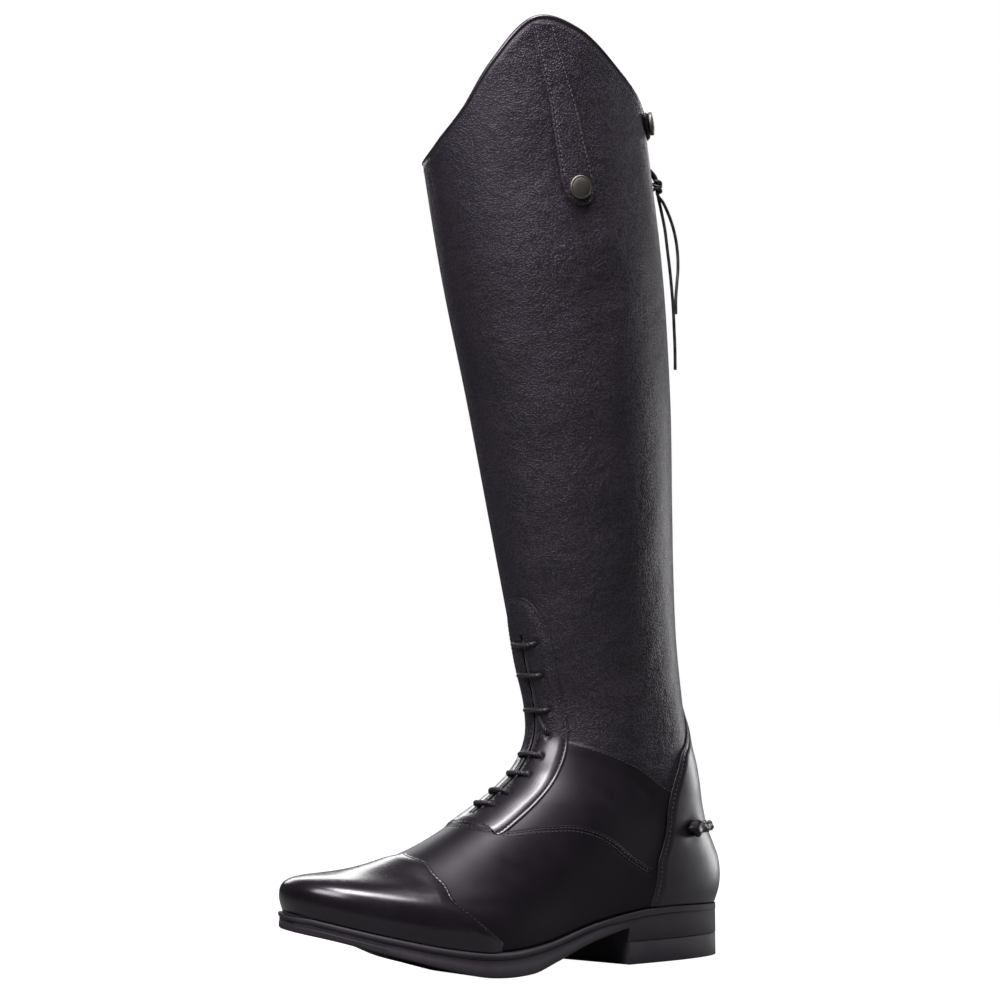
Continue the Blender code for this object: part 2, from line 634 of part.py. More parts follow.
SOLE_RING = grown(FOOT_RINGS[0], WELT_OUT, back=WELT_OUT_BACK)
SOLE_RING = SOLE_RING._replace(heel_w=32.0, back_r=31.5, waist_w=34.5)
sole_turns = np.concatenate([[1.2], np.linspace(5, 175, 45), [178.8]])
plate(
    "insole", grown(FOOT_RINGS[0], -INSOLE_IN), lambda x: smooth(SOLE_TOP, x) + INSOLE_LIFT + INSOLE_THICK,
    lambda x: smooth(SOLE_TOP, x) + INSOLE_LIFT, INSOLE_BOARD, sole_turns,
)
plate(
    "welt", SOLE_RING, lambda x: smooth(SOLE_TOP, x) - SOLE_GAP,
    lambda x: smooth(SOLE_TOP, x) - SOLE_GAP - WELT_THICK, RUBBER, sole_turns,
)
OUTSOLE_RING = grown(SOLE_RING, -OUTSOLE_IN)


def turn_at(ring, x):
    """Direction at which a ring reaches a distance from the heel."""
    return np.degrees(np.arccos(1 - 2 * (np.asarray(x) - ring.back_x) / (ring.front_x - ring.back_x)))


def tread_edges(first, last):
    """The four lines of each groove across the sole, and the grooves' middles."""
    middles = np.arange(first, last, TREAD_PITCH)
    half = TREAD_WIDE / 2
    lines = np.array([-half - TREAD_SLOPE, -half, half, half + TREAD_SLOPE])
    return (middles[:, None] + lines).ravel(), middles


def groove(x, middles):
    away = np.abs(np.asarray(x)[:, None] - middles).min(1)
    return TREAD_DEEP * np.clip((TREAD_WIDE / 2 + TREAD_SLOPE - away) / TREAD_SLOPE, 0, 1)


fore_edges, fore_middles = tread_edges(*FORE_TREAD)
fore_turns = turn_at(OUTSOLE_RING, np.append(fore_edges, SOLE_BOTTOM[0].at))
plain = [t for t in sole_turns if np.abs(fore_turns - t).min() > STATION_CLEAR]


def outsole_bottom(x):
    fore = np.minimum(np.interp(x, *zip(*SOLE_BOTTOM)), smooth(SOLE_TOP, x) - SOLE_LEAST)
    return np.where(x < SOLE_BOTTOM[0].at, OUTSOLE_HEEL, fore) + groove(x, fore_middles)


plate(
    "outsole", OUTSOLE_RING, lambda x: smooth(SOLE_TOP, x) - 2 * SOLE_GAP - WELT_THICK, outsole_bottom,
    RUBBER, np.sort(np.concatenate([plain, fore_turns])),
)


def heel_turns(ring):
    return np.linspace(1.2, turn_at(ring, HEEL_LENGTH), 16)


HEEL_RING = grown(OUTSOLE_RING, -HEEL_IN)
plate(
    "heel_block", HEEL_RING, lambda x: np.full(len(x), OUTSOLE_HEEL - JOINT_GAP),
    lambda x: np.full(len(x), TOP_PIECE + JOINT_GAP), RUBBER, heel_turns(HEEL_RING),
)
TOP_RING = grown(HEEL_RING, -TOP_PIECE_IN)
heel_edges, heel_middles = tread_edges(*HEEL_TREAD)
heel_lines = turn_at(TOP_RING, heel_edges)
plain = [t for t in heel_turns(TOP_RING) if np.abs(heel_lines - t).min() > STATION_CLEAR]
plate(
    "heel_top_piece", TOP_RING, lambda x: np.full(len(x), TOP_PIECE), lambda x: groove(x, heel_middles),
    RUBBER, np.sort(np.concatenate([plain, heel_lines])),
)
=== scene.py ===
"""Looks of a tall field boot for the left foot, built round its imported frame.

Sizes are millimetres in the boot's own frame: +X to the toe from the back of the heel, +Y to the
outer side of the leg and +Z up from the floor.
"""

import math
from collections import namedtuple

import bmesh
import bpy
import numpy as np
from mathutils import Matrix, Quaternion, Vector


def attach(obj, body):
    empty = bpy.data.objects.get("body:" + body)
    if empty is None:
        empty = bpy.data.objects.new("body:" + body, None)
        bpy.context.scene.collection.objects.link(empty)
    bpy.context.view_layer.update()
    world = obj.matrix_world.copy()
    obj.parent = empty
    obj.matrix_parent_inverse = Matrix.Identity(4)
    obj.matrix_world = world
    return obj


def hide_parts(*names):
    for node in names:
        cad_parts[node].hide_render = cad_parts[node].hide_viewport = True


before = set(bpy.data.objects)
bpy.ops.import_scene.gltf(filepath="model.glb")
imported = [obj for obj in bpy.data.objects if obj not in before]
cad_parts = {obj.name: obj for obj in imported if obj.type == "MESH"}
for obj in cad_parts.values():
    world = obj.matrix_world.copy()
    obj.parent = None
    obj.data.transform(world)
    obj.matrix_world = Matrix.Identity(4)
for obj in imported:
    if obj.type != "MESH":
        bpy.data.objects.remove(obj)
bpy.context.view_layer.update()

# Quarters: the base of the boot's foot, cut from smooth black calf and lined, closed at the back.
# The foot is one set of oval rings that rises from the sole's edge to the ankle. It is open at the
# throat in front, and its upper edge is lapped over the leg of the boot and sewn down.
MM = 0.001
CENTRE = (138.1, 1.3, 0.0)
FootRing = namedtuple("FootRing", "back_x back_z front_x front_z dip back_r heel_w waist_w ball_w front_r")
FOOT_RINGS = (
    FootRing(1.5, 29.5, 277.0, 29.8, 1.00, 29.0, 29.5, 32.0, 43.5, 28.0),
    FootRing(-2.0, 38.0, 279.0, 38.5, 0.98, 30.0, 30.5, 34.0, 45.5, 28.0),
    FootRing(-3.0, 46.0, 277.0, 46.8, 0.92, 30.0, 30.5, 35.0, 44.5, 26.0),
    FootRing(-2.0, 54.0, 267.0, 52.5, 0.84, 29.0, 30.0, 35.5, 41.0, 23.0),
    FootRing(1.0, 61.0, 240.5, 59.2, 0.68, 28.0, 29.5, 35.5, 37.5, 19.5),
    FootRing(4.5, 68.0, 209.5, 70.4, 0.48, 27.0, 29.0, 35.0, 34.5, 18.0),
    FootRing(7.5, 76.0, 181.5, 81.4, 0.30, 26.0, 28.5, 34.5, 32.5, 18.0),
    FootRing(10.0, 85.0, 156.0, 92.6, 0.15, 25.0, 28.0, 34.0, 31.0, 18.0),
    FootRing(12.0, 95.0, 134.0, 106.3, 0.05, 24.0, 27.5, 33.5, 30.5, 18.0),
    FootRing(14.5, 106.0, 121.5, 124.0, 0.00, 23.0, 26.5, 33.5, 31.0, 19.0),
    FootRing(18.5, 121.0, 120.5, 143.0, 0.00, 22.5, 26.0, 34.0, 32.0, 21.0),
)
LegRing = namedtuple("LegRing", "height back_x front_x half_w")
LEG_RINGS = (
    LegRing(166.0, 24.5, 125.5, 36.5),
    LegRing(200.0, 28.0, 132.0, 40.0),
    LegRing(250.0, 31.0, 141.0, 46.0),
    LegRing(310.0, 33.5, 152.5, 52.0),
    LegRing(380.0, 38.5, 169.0, 55.5),
    LegRing(450.0, 48.0, 182.5, 56.0),
    LegRing(530.0, 60.0, 196.0, 56.0),
)
SOLE_TOP = (
    (0, 29.5), (76, 29.5), (110, 24.5), (145, 16.5), (180, 13.5), (212, 16.2), (245, 22.0), (278, 29.8),
)
SWING = ((0, 0.0), (60, 1.0), (120, 3.0), (185, 0.0), (278, -11.0))
TWIST_LIFT = 12.0
TWIST_X = (168.0, 246.0)
TWIST_Z = (25.0, 85.0)
TWIST_OUTER = 54.0
TWIST_WIDE = 110.0
SHAFT_EDGE = ((0, 7.4), (70, 7.75), (93, 8.47), (114, 8.8), (138, 9.0), (180, 9.15))
WIDTH_AT = np.radians([0.0, 45.6, 84.3, 113.6, 180.0])
SLIT_HALF = 5.0
SLIT_ROW = 6.6
LEATHER = 2.0


def hermite(xs, ys, at):
    """A smooth curve through values at given places."""
    slope = np.gradient(ys, xs, axis=0)
    at = np.asarray(at, float)
    i = np.clip(np.searchsorted(xs, at) - 1, 0, len(xs) - 2)
    span = xs[i + 1] - xs[i]
    t = (at - xs[i]) / span
    if ys.ndim > 1:
        span = span[..., None]
        t = t[..., None]
    start = (2 * t**3 - 3 * t**2 + 1) * ys[i] + (t**3 - 2 * t**2 + t) * span * slope[i]
    return start + (3 * t**2 - 2 * t**3) * ys[i + 1] + (t**3 - t**2) * span * slope[i + 1]


def smooth(marks, at):
    xs = np.array([m[0] for m in marks], float)
    ys = np.array([m[1] for m in marks], float)
    return hermite(xs, ys, np.clip(at, xs[0], xs[-1]))


def ring_row(ring):
    """A foot ring as back and front points, dip, and five spreads from heel to toe."""
    length = ring.front_x - ring.back_x
    sides = [w / np.sin(a) for w, a in zip((ring.heel_w, ring.waist_w, ring.ball_w), WIDTH_AT[1:4])]
    spreads = [np.sqrt(ring.back_r * length / 2), *sides, np.sqrt(ring.front_r * length / 2)]
    return [ring.back_x, ring.back_z, ring.front_x, ring.front_z, ring.dip, *spreads]


LEG_ROWS = [[r.back_x, r.height, r.front_x, r.height, 0.0] + [r.half_w] * 5 for r in LEG_RINGS]
ROWS = np.array([ring_row(r) for r in FOOT_RINGS] + LEG_ROWS)
FIRST_LEG = len(FOOT_RINGS)


def spread_at(spreads, angle):
    slope = np.gradient(spreads, WIDTH_AT, axis=-1)
    i = np.clip(np.searchsorted(WIDTH_AT, angle) - 1, 0, len(WIDTH_AT) - 2)
    span = WIDTH_AT[i + 1] - WIDTH_AT[i]
    t = (angle - WIDTH_AT[i]) / span

    def take(table, k):
        return np.take_along_axis(table, k[..., None], -1)[..., 0]

    start = (2 * t**3 - 3 * t**2 + 1) * take(spreads, i) + (t**3 - 2 * t**2 + t) * span * take(slope, i)
    return start + (3 * t**2 - 2 * t**3) * take(spreads, i + 1) + (t**3 - t**2) * span * take(slope, i + 1)


def oval(row, turn):
    """Points of rings given as full rows, at a direction in degrees from the back."""
    angle = np.radians(np.abs((turn + 180.0) % 360.0 - 180.0))
    share = (1 - np.cos(angle)) / 2
    x = row[..., 0] + share * (row[..., 2] - row[..., 0])
    heel = FOOT_RINGS[0]
    chord = heel.back_z + (x - heel.back_x) / (heel.front_x - heel.back_x) * (heel.front_z - heel.back_z)
    dip = smooth(SOLE_TOP, x) - chord
    z = row[..., 1] + share * (row[..., 3] - row[..., 1]) + row[..., 4] * dip
    y = np.sin(np.radians(turn)) * spread_at(row[..., 5:], angle)
    return x, y, z


def skin(number, turn):
    """A point of the leather's outer face, by ring number and direction."""
    number, turn = np.broadcast_arrays(np.asarray(number, float), np.asarray(turn, float))
    x, y, z = oval(hermite(np.arange(len(ROWS), dtype=float), ROWS, number), turn)
    y = y + smooth(SWING, x) * np.clip((FIRST_LEG - number) / 4, 0, 1)
    return np.stack([x, y, z], -1)


def lie(number, turn):
    """How the leather lies at a place: its step per ring, its step per degree and its normal."""
    number = np.asarray(number, float)
    turn = np.asarray(turn, float)
    along = (skin(number + 0.02, turn) - skin(number - 0.02, turn)) / 0.04
    across = skin(number, turn + 0.5) - skin(number, turn - 0.5)
    normal = np.cross(along, across)
    return along, across, normal / np.linalg.norm(normal, axis=-1, keepdims=True)


def skin_out(number, turn, out):
    """The leather's face moved out along its own normal."""
    return skin(number, turn) + np.asarray(out, float)[..., None] * lie(number, turn)[2]


def edge_row(turn):
    """Ring number of the seam between the foot and the leg."""
    return smooth(SHAFT_EDGE, np.abs((np.asarray(turn) + 180.0) % 360.0 - 180.0))


def turn_from_front(number, reach):
    """Direction that lies a distance in millimetres from the front centre line."""
    front = hermite(np.arange(len(ROWS), dtype=float), ROWS, number)[..., 9]
    return 180.0 - np.degrees(np.arcsin(np.clip(np.asarray(reach) / front, -1, 1)))


def turn_from_back(number, reach):
    back = hermite(np.arange(len(ROWS), dtype=float), ROWS, number)[..., 5]
    return np.degrees(np.arcsin(np.clip(np.asarray(reach) / back, -1, 1)))


def ease(value, low, high):
    """A soft step from 0 to 1 between two values."""
    share = np.clip((value - low) / (high - low), 0, 1)
    return share * share * (3 - 2 * share)


def place(points):
    """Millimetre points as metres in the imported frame, with the twist that lifts the inner forefoot."""
    points = np.array(points, float)
    x, y, z = np.moveaxis(points, -1, 0)
    inner = np.clip((TWIST_OUTER - y) / TWIST_WIDE, 0, 1)
    points[..., 2] += TWIST_LIFT * ease(x, *TWIST_X) * inner * (1 - ease(z, *TWIST_Z))
    return (points - CENTRE) * MM


def bump_at(value, middle, width):
    return np.exp(-(((value - middle) / width) ** 2))


def laid_grid(across, along, where):
    """A grid of cells laid on the boot: where() takes each corner's share across and along."""
    build = bmesh.new()
    build.loops.layers.uv.new("UVMap")
    bmesh.ops.create_grid(build, x_segments=across, y_segments=along, size=0.5, calc_uvs=True)
    shares = np.array([v.co[:2] for v in build.verts]) + 0.5
    for vert, at in zip(build.verts, place(where(shares[:, 0], shares[:, 1]))):
        vert.co = at
    bmesh.ops.reverse_faces(build, faces=build.faces)
    return build, shares


def closed_up(build):
    """Joins the two ends of a grid that goes all the way round."""
    bmesh.ops.remove_doubles(build, verts=build.verts, dist=0.000002)


def piece(name, build, *made_of):
    """A finished mesh as an object of the boot."""
    for face in build.faces:
        face.smooth = True
    mesh = bpy.data.meshes.new(name)
    build.to_mesh(mesh)
    build.free()
    for finish in made_of:
        mesh.materials.append(finish)
    obj = bpy.data.objects.new(name, mesh)
    bpy.context.scene.collection.objects.link(obj)
    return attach(obj, "root")


def wall(obj, thick, inside=0, even=True):
    """Gives a sheet its thickness, inwards from the face that shows."""
    made = obj.modifiers.new("thickness", "SOLIDIFY")
    made.thickness = thick * MM
    made.offset = -1.0
    made.use_even_offset = even
    made.material_offset = inside
    return obj


def colour(code):
    """An sRGB hex value as linear light."""
    parts = [int(code[k : k + 2], 16) / 255 for k in (1, 3, 5)]
    return tuple(c / 12.92 if c <= 0.04045 else ((c + 0.055) / 1.055) ** 2.4 for c in parts) + (1.0,)


def add(tree, kind, settings, inputs):
    """A node with its settings, and a value or a link for each input."""
    node = tree.nodes.new(kind)
    for name, value in settings.items():
        setattr(node, name, value)
    for name, value in inputs.items():
        if isinstance(value, bpy.types.NodeSocket):
            tree.links.new(value, node.inputs[name])
        else:
            node.inputs[name].default_value = value
    return node


def finish_of(name, constants):
    """A new material with one shader: its tree, its shader and its Object coordinates."""
    made = bpy.data.materials.new(name)
    made.use_nodes = True
    tree = made.node_tree
    tree.nodes.clear()
    shader = add(tree, "ShaderNodeBsdfPrincipled", {}, constants)
    add(tree, "ShaderNodeOutputMaterial", {}, {"Surface": shader.outputs[0]})
    coords = add(tree, "ShaderNodeTexCoord", {}, {})
    return made, tree, shader, coords


# Polished calf has a tight, almost closed grain under a wax finish, so it mirrors the studio in
# soft-edged streaks. Its pores are drawn 0.7 mm apart, coarser than real ones so that they show. The
# waxed surface rolls gently every 9 mm, and its shine drifts over about 22 mm.
CALF_PORES = 0.7
CALF_ROLL = 9.0
CALF_DRIFT = 22.0


def calf_finish(name, dullest, shiniest, wax, shine=0.5):
    """Black calf, with its roughness between two values and a coat of wax over it."""
    made, tree, shader, coords = finish_of(name, {
        "IOR": 1.5, "Specular IOR Level": shine, "Specular Tint": colour("#f7edfb"),
        "Coat Weight": wax, "Coat Roughness": shiniest * 0.85, "Coat IOR": 1.5,
    })
    pores = add(tree, "ShaderNodeTexVoronoi", {"feature": "F1"}, {
        "Vector": coords.outputs["Object"], "Scale": 1 / (CALF_PORES * MM), "Randomness": 1.0,
    })
    roll = add(tree, "ShaderNodeTexNoise", {}, {
        "Vector": coords.outputs["Object"], "Scale": 1 / (CALF_ROLL * MM), "Detail": 3.0, "Roughness": 0.55,
    })
    patch = add(tree, "ShaderNodeTexNoise", {}, {
        "Vector": coords.outputs["Object"], "Scale": 1 / (CALF_DRIFT * MM), "Detail": 4.0, "Roughness": 0.6,
    })
    tone = add(tree, "ShaderNodeMix", {"data_type": "RGBA"}, {
        "Factor": patch.outputs["Fac"], 6: colour("#120e13"), 7: colour("#1d181f"),
    })
    tree.links.new(tone.outputs[2], shader.inputs["Base Color"])
    gloss = add(tree, "ShaderNodeMapRange", {}, {
        "Value": patch.outputs["Fac"], "From Min": 0.3, "From Max": 0.7,
        "To Min": shiniest, "To Max": dullest,
    })
    tree.links.new(gloss.outputs["Result"], shader.inputs["Roughness"])
    fine = add(tree, "ShaderNodeBump", {}, {
        "Strength": 0.3, "Distance": 0.05 * MM, "Height": pores.outputs["Distance"],
    })
    soft = add(tree, "ShaderNodeBump", {}, {
        "Strength": 0.3, "Distance": 0.3 * MM, "Height": roll.outputs["Fac"],
        "Normal": fine.outputs["Normal"],
    })
    tree.links.new(soft.outputs["Normal"], shader.inputs["Normal"])
    return made


calf = calf_finish("polished_calf", 0.5, 0.4, 0.08, 0.3)

# The lining is a dull black textile, faded in broad patches. Its threads are drawn 0.8 mm apart, as
# coarse as they need to be to show.
LINING_THREADS = 0.8
LINING_FADE = 30.0
lining, tree, shader, coords = finish_of("lining_cloth", {"Roughness": 0.9, "Sheen Weight": 0.15})
weave = add(tree, "ShaderNodeTexVoronoi", {"feature": "F1", "distance": "CHEBYCHEV"}, {
    "Vector": coords.outputs["Object"], "Scale": 1 / (LINING_THREADS * MM), "Randomness": 0.2,
})
fade = add(tree, "ShaderNodeTexNoise", {}, {
    "Vector": coords.outputs["Object"], "Scale": 1 / (LINING_FADE * MM),
})
tone = add(tree, "ShaderNodeMix", {"data_type": "RGBA"}, {
    "Factor": fade.outputs["Fac"], 6: colour("#1b1a1c"), 7: colour("#2a282b"),
})
tree.links.new(tone.outputs[2], shader.inputs["Base Color"])
rough = add(tree, "ShaderNodeBump", {}, {
    "Strength": 0.5, "Distance": 0.2 * MM, "Height": weave.outputs["Distance"],
})
tree.links.new(rough.outputs["Normal"], shader.inputs["Normal"])

# Soft troughs where the leather gives: ends by ring and direction, half width and depth.
Crease = namedtuple("Crease", "from_row from_turn to_row to_turn wide deep")
FOOT_CREASES = (
    Crease(7.6, 118, 6.9, 96, 4.5, 0.45),
    Crease(8.3, 100, 7.2, 78, 5.5, 0.5),
    Crease(6.9, 262, 6.4, 236, 5.0, 0.5),
    Crease(8.1, 275, 7.4, 248, 5.5, 0.5),
    Crease(4.9, 128, 4.1, 112, 5.0, 0.35),
    Crease(4.9, 232, 4.1, 248, 5.0, 0.35),
)


def troughs(creases, points):
    """How far the leather moves at each point: down along each crease and a little up beside it."""
    moved = np.zeros(len(points))
    for crease in creases:
        start = skin(crease.from_row, crease.from_turn)
        run = skin(crease.to_row, crease.to_turn) - start
        share = np.clip((points - start) @ run / (run @ run), 0, 1)
        away = np.linalg.norm(points - start - share[:, None] * run, axis=1) / crease.wide
        fade = 0.25 + 0.75 * np.sin(np.pi * share)
        moved -= crease.deep * fade * (1 - 0.8 * away**2) * np.exp(-(away**2))
    return moved


QUARTER_COLUMNS = 236
QUARTER_SLIT = 4 / QUARTER_COLUMNS / 2
QUARTER_LINES = 86
LAP = 0.4
LAP_WIDE = (3.0, 9.0)
LAP_PARED = 0.4
LAP_PARED_WIDE = 2.5


def fold_in_slit(share, slit, start, stop):
    """Directions round a ring, with whole columns on the two edges of the throat."""
    side = np.clip(np.minimum(share, 1 - share) / (0.5 - slit), 0, 1)
    inner = np.clip((0.5 - np.minimum(share, 1 - share)) / slit, 0, 1)
    half = np.where(inner < 1, 180 - (180 - stop) * inner, start + (stop - start) * side)
    return np.where(share > 0.5, 360 - half, half)


def quarter_skin(share, rise):
    number = rise * edge_row(180.0 * np.minimum(share, 1 - share) * 2)
    turn = fold_in_slit(share, QUARTER_SLIT, 0.0, turn_from_front(number, SLIT_HALF))
    number = rise * edge_row(turn)
    from_edge = (edge_row(turn) - number) * np.linalg.norm(lie(number, turn)[0], axis=-1)
    lap = LAP * (1 - ease(from_edge, *LAP_WIDE)) - LAP_PARED * (1 - ease(from_edge, 0.0, LAP_PARED_WIDE))
    return skin_out(number, turn, lap + troughs(FOOT_CREASES, skin(number, turn)))


build, shares = laid_grid(QUARTER_COLUMNS, QUARTER_LINES, quarter_skin)
slit = [
    f for f in build.faces
    if abs(np.mean([shares[v.index][0] for v in f.verts]) - 0.5) < QUARTER_SLIT
    and np.mean([shares[v.index][1] for v in f.verts]) > SLIT_ROW / SHAFT_EDGE[-1][1]
]
bmesh.ops.delete(build, geom=slit, context="FACES")
closed_up(build)
quarters = wall(piece("quarters", build, calf, lining), LEATHER, inside=1)
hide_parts("upper")

# Thread: black bonded polyester, lockstitched by machine at about ten stitches an inch. Each stitch
# lies in its own dent, so it is a short thick lozenge that catches a little light.
STITCH_PITCH = 2.6
STITCH_LONG = 2.0
STITCH_WIDE = 0.6
STITCH_HIGH = 0.4
THREAD_FLECK = 0.6
thread, tree, shader, coords = finish_of("bonded_thread", {"Roughness": 0.5, "Sheen Weight": 0.2})
fleck = add(tree, "ShaderNodeTexNoise", {}, {
    "Vector": coords.outputs["Object"], "Scale": 1 / (THREAD_FLECK * MM),
})
tone = add(tree, "ShaderNodeMix", {"data_type": "RGBA"}, {
    "Factor": fleck.outputs["Fac"], 6: colour("#121113"), 7: colour("#2a282c"),
})
tree.links.new(tone.outputs[2], shader.inputs["Base Color"])
twist = add(tree, "ShaderNodeBump", {}, {
    "Strength": 0.4, "Distance": 0.1 * MM, "Height": fleck.outputs["Fac"],
})
tree.links.new(twist.outputs["Normal"], shader.inputs["Normal"])


def beside(numbers, turns, by):
    """A line on the leather moved sideways by a distance: ring numbers and directions."""
    along, across, normal = lie(numbers, turns)
    run = np.gradient(skin(numbers, turns), axis=0)
    side = np.cross(normal, run)
    side *= np.asarray(by, float)[..., None] / np.linalg.norm(side, axis=1, keepdims=True)
    aa, cc, ac = (along**2).sum(1), (across**2).sum(1), (along * across).sum(1)
    sa, sc = (side * along).sum(1), (side * across).sum(1)
    solve = aa * cc - ac * ac
    return numbers + (sa * cc - sc * ac) / solve, turns + (sc * aa - sa * ac) / solve


def small_ball(sides, rings):
    """A ball of radius 1 that small repeated pieces are stretched from."""
    build = bmesh.new()
    bmesh.ops.create_uvsphere(build, u_segments=sides, v_segments=rings, radius=1.0)
    form = bpy.data.meshes.new("small_ball")
    build.to_mesh(form)
    build.free()
    return form


def add_copy(build, form, matrix):
    copy = form.copy()
    copy.transform(matrix)
    build.from_mesh(copy)
    bpy.data.meshes.remove(copy)


stitch_form = small_ball(6, 4)


def sewn(name, *rows, yarn=None):
    """Rows of stitches as one piece. Each row is ring numbers, directions and height off the leather."""
    build = bmesh.new()
    for numbers, turns, out in rows:
        line = skin_out(numbers, turns, out)
        up = lie(numbers, turns)[2]
        run = np.concatenate([[0.0], np.cumsum(np.linalg.norm(np.diff(line, axis=0), axis=1))])
        stops = np.arange(STITCH_PITCH / 2, run[-1], STITCH_PITCH)
        for stop in stops:
            at, ahead, normal = (
                Vector([np.interp(s, run, line_or_up[:, k]) for k in range(3)])
                for s, line_or_up in ((stop, line), (stop + 0.4, line), (stop, up))
            )
            way = (ahead - at).normalized() if (ahead - at).length > 0 else Vector((1, 0, 0))
            side = normal.cross(way).normalized()
            turned = Matrix((way, side, way.cross(side))).transposed().to_4x4()
            size = Matrix.Diagonal((STITCH_LONG / 2 * MM, STITCH_WIDE / 2 * MM, STITCH_HIGH / 2 * MM, 1.0))
            add_copy(build, stitch_form, Matrix.Translation(place(at)) @ turned @ size)
    made = piece(name, build, yarn or thread)
    return made


LAP_SEWN = (64.0, 149.0)
LAP_SEAM = 2.0
LAP_POINTS = 160
lap_turns = np.linspace(*LAP_SEWN, LAP_POINTS)
lap_rows = edge_row(lap_turns)
lap_line = beside(lap_rows, lap_turns, np.full(LAP_POINTS, LAP_SEAM))
if lap_line[0][LAP_POINTS // 2] > lap_rows[LAP_POINTS // 2]:
    lap_line = beside(lap_rows, lap_turns, np.full(LAP_POINTS, -LAP_SEAM))
lap_out = np.full(LAP_POINTS, LAP)
sewn("quarter_stitching", (*lap_line, lap_out), (lap_line[0], 360 - lap_line[1], lap_out))

# Leg of the boot: one piece of finely pebbled cowhide, lined, with a slot down the back for the zip
# and a slit over the instep for the lacing. Its collar rises to a peak on the outer side.
COLLAR = (
    (0, 468), (40, 470), (70, 487), (95, 507), (115, 512), (140, 489), (160, 464), (180, 449),
    (230, 440), (300, 452), (360, 468),
)
ZIP_HALF = 4.0
SLOT_FOOT_ROW = 10.75
SLIT_TOP_ROW = 11.75
LEG_CREASES = (
    Crease(10.4, 62, 10.1, 98, 7.0, 0.55),
    Crease(10.9, 70, 10.75, 112, 8.0, 0.6),
    Crease(11.5, 58, 11.3, 104, 9.0, 0.5),
    Crease(10.6, 300, 10.3, 262, 7.0, 0.55),
    Crease(11.2, 296, 11.0, 250, 9.0, 0.6),
    Crease(12.5, 44, 12.3, 92, 12.0, 0.45),
    Crease(14.75, 84, 14.7, 168, 24.0, 1.5),
    Crease(15.9, 96, 15.6, 160, 22.0, 0.9),
    Crease(13.75, 60, 13.6, 150, 20.0, 0.7),
    Crease(13.9, 310, 13.8, 240, 16.0, 0.5),
)


def row_at_height(height):
    heights = ROWS[FIRST_LEG:, 1]
    return np.interp(height, heights, np.arange(FIRST_LEG, len(ROWS)))


def collar_height(turn):
    marks = [(m[0] + 360 * k, m[1]) for k in (-1, 0, 1) for m in COLLAR[:-1]]
    return smooth(marks, np.asarray(turn, float) % 360.0)


# Pebbled cowhide is drum-milled until the grain breaks into pebbles about 1 mm across, gathered in
# small crinkled clusters. The tops are rubbed a little smoother, and the creases stay dull and are
# painted darker as shade in the hollows between pebbles.
HIDE_WANDER = 2.0
HIDE_PEBBLE = 1.0
HIDE_CRINKLE = 5.0
HIDE_PATCH = 38.0
cowhide, tree, shader, coords = finish_of("pebbled_cowhide", {
    "IOR": 1.5, "Specular Tint": colour("#f7edfb"), "Coat Weight": 0.12, "Coat Roughness": 0.35,
})
wander = add(tree, "ShaderNodeTexNoise", {}, {
    "Vector": coords.outputs["Object"], "Scale": 1 / (HIDE_WANDER * MM), "Detail": 3.0, "Roughness": 0.6,
})
shift = add(tree, "ShaderNodeVectorMath", {"operation": "SCALE"}, {
    0: wander.outputs["Color"], "Scale": 1.3 * MM,
})
warped = add(tree, "ShaderNodeVectorMath", {"operation": "ADD"}, {
    0: coords.outputs["Object"], 1: shift.outputs["Vector"],
})
pebble = add(tree, "ShaderNodeTexVoronoi", {"feature": "SMOOTH_F1"}, {
    "Vector": warped.outputs["Vector"], "Scale": 1 / (HIDE_PEBBLE * MM),
    "Smoothness": 0.35, "Randomness": 1.0,
})
top = add(tree, "ShaderNodeMapRange", {"interpolation_type": "SMOOTHSTEP"}, {
    "Value": pebble.outputs["Distance"], "From Min": 0.66, "From Max": 0.12, "To Min": 0.0, "To Max": 1.0,
})
crinkle = add(tree, "ShaderNodeTexNoise", {"noise_type": "RIDGED_MULTIFRACTAL"}, {
    "Vector": coords.outputs["Object"], "Scale": 1 / (HIDE_CRINKLE * MM), "Detail": 3.0, "Roughness": 0.55,
})
patch = add(tree, "ShaderNodeTexNoise", {}, {
    "Vector": coords.outputs["Object"], "Scale": 1 / (HIDE_PATCH * MM), "Detail": 3.0, "Roughness": 0.6,
})
# Painted shade: the creases between pebbles are coloured darker than the tops.
tone = add(tree, "ShaderNodeMix", {"data_type": "RGBA"}, {
    "Factor": top.outputs["Result"], 6: colour("#211c24"), 7: colour("#3b343e"),
})
shade = add(tree, "ShaderNodeMix", {"data_type": "RGBA", "blend_type": "MULTIPLY"}, {
    "Factor": patch.outputs["Fac"], 6: tone.outputs[2], 7: colour("#a29ea8"),
})
tree.links.new(shade.outputs[2], shader.inputs["Base Color"])
gloss = add(tree, "ShaderNodeMapRange", {}, {
    "Value": top.outputs["Result"], "From Min": 0.0, "From Max": 1.0, "To Min": 0.56, "To Max": 0.4,
})
tree.links.new(gloss.outputs["Result"], shader.inputs["Roughness"])
rolled = add(tree, "ShaderNodeBump", {}, {
    "Strength": 0.6, "Distance": 5.0 * MM, "Height": patch.outputs["Fac"],
})
coarse = add(tree, "ShaderNodeBump", {}, {
    "Strength": 0.5, "Distance": 0.6 * MM, "Height": crinkle.outputs["Fac"],
    "Normal": rolled.outputs["Normal"],
})
grained = add(tree, "ShaderNodeBump", {}, {
    "Strength": 0.9, "Distance": 0.24 * MM, "Height": top.outputs["Result"],
    "Normal": coarse.outputs["Normal"],
})
tree.links.new(grained.outputs["Normal"], shader.inputs["Normal"])

LEG_COLUMNS = 200
LEG_SLIT = 4 / LEG_COLUMNS / 2
LEG_SLOT = 2 / LEG_COLUMNS
LEG_LINES = 190
TUCK = 0.4
LEG_SUNK = 0.3


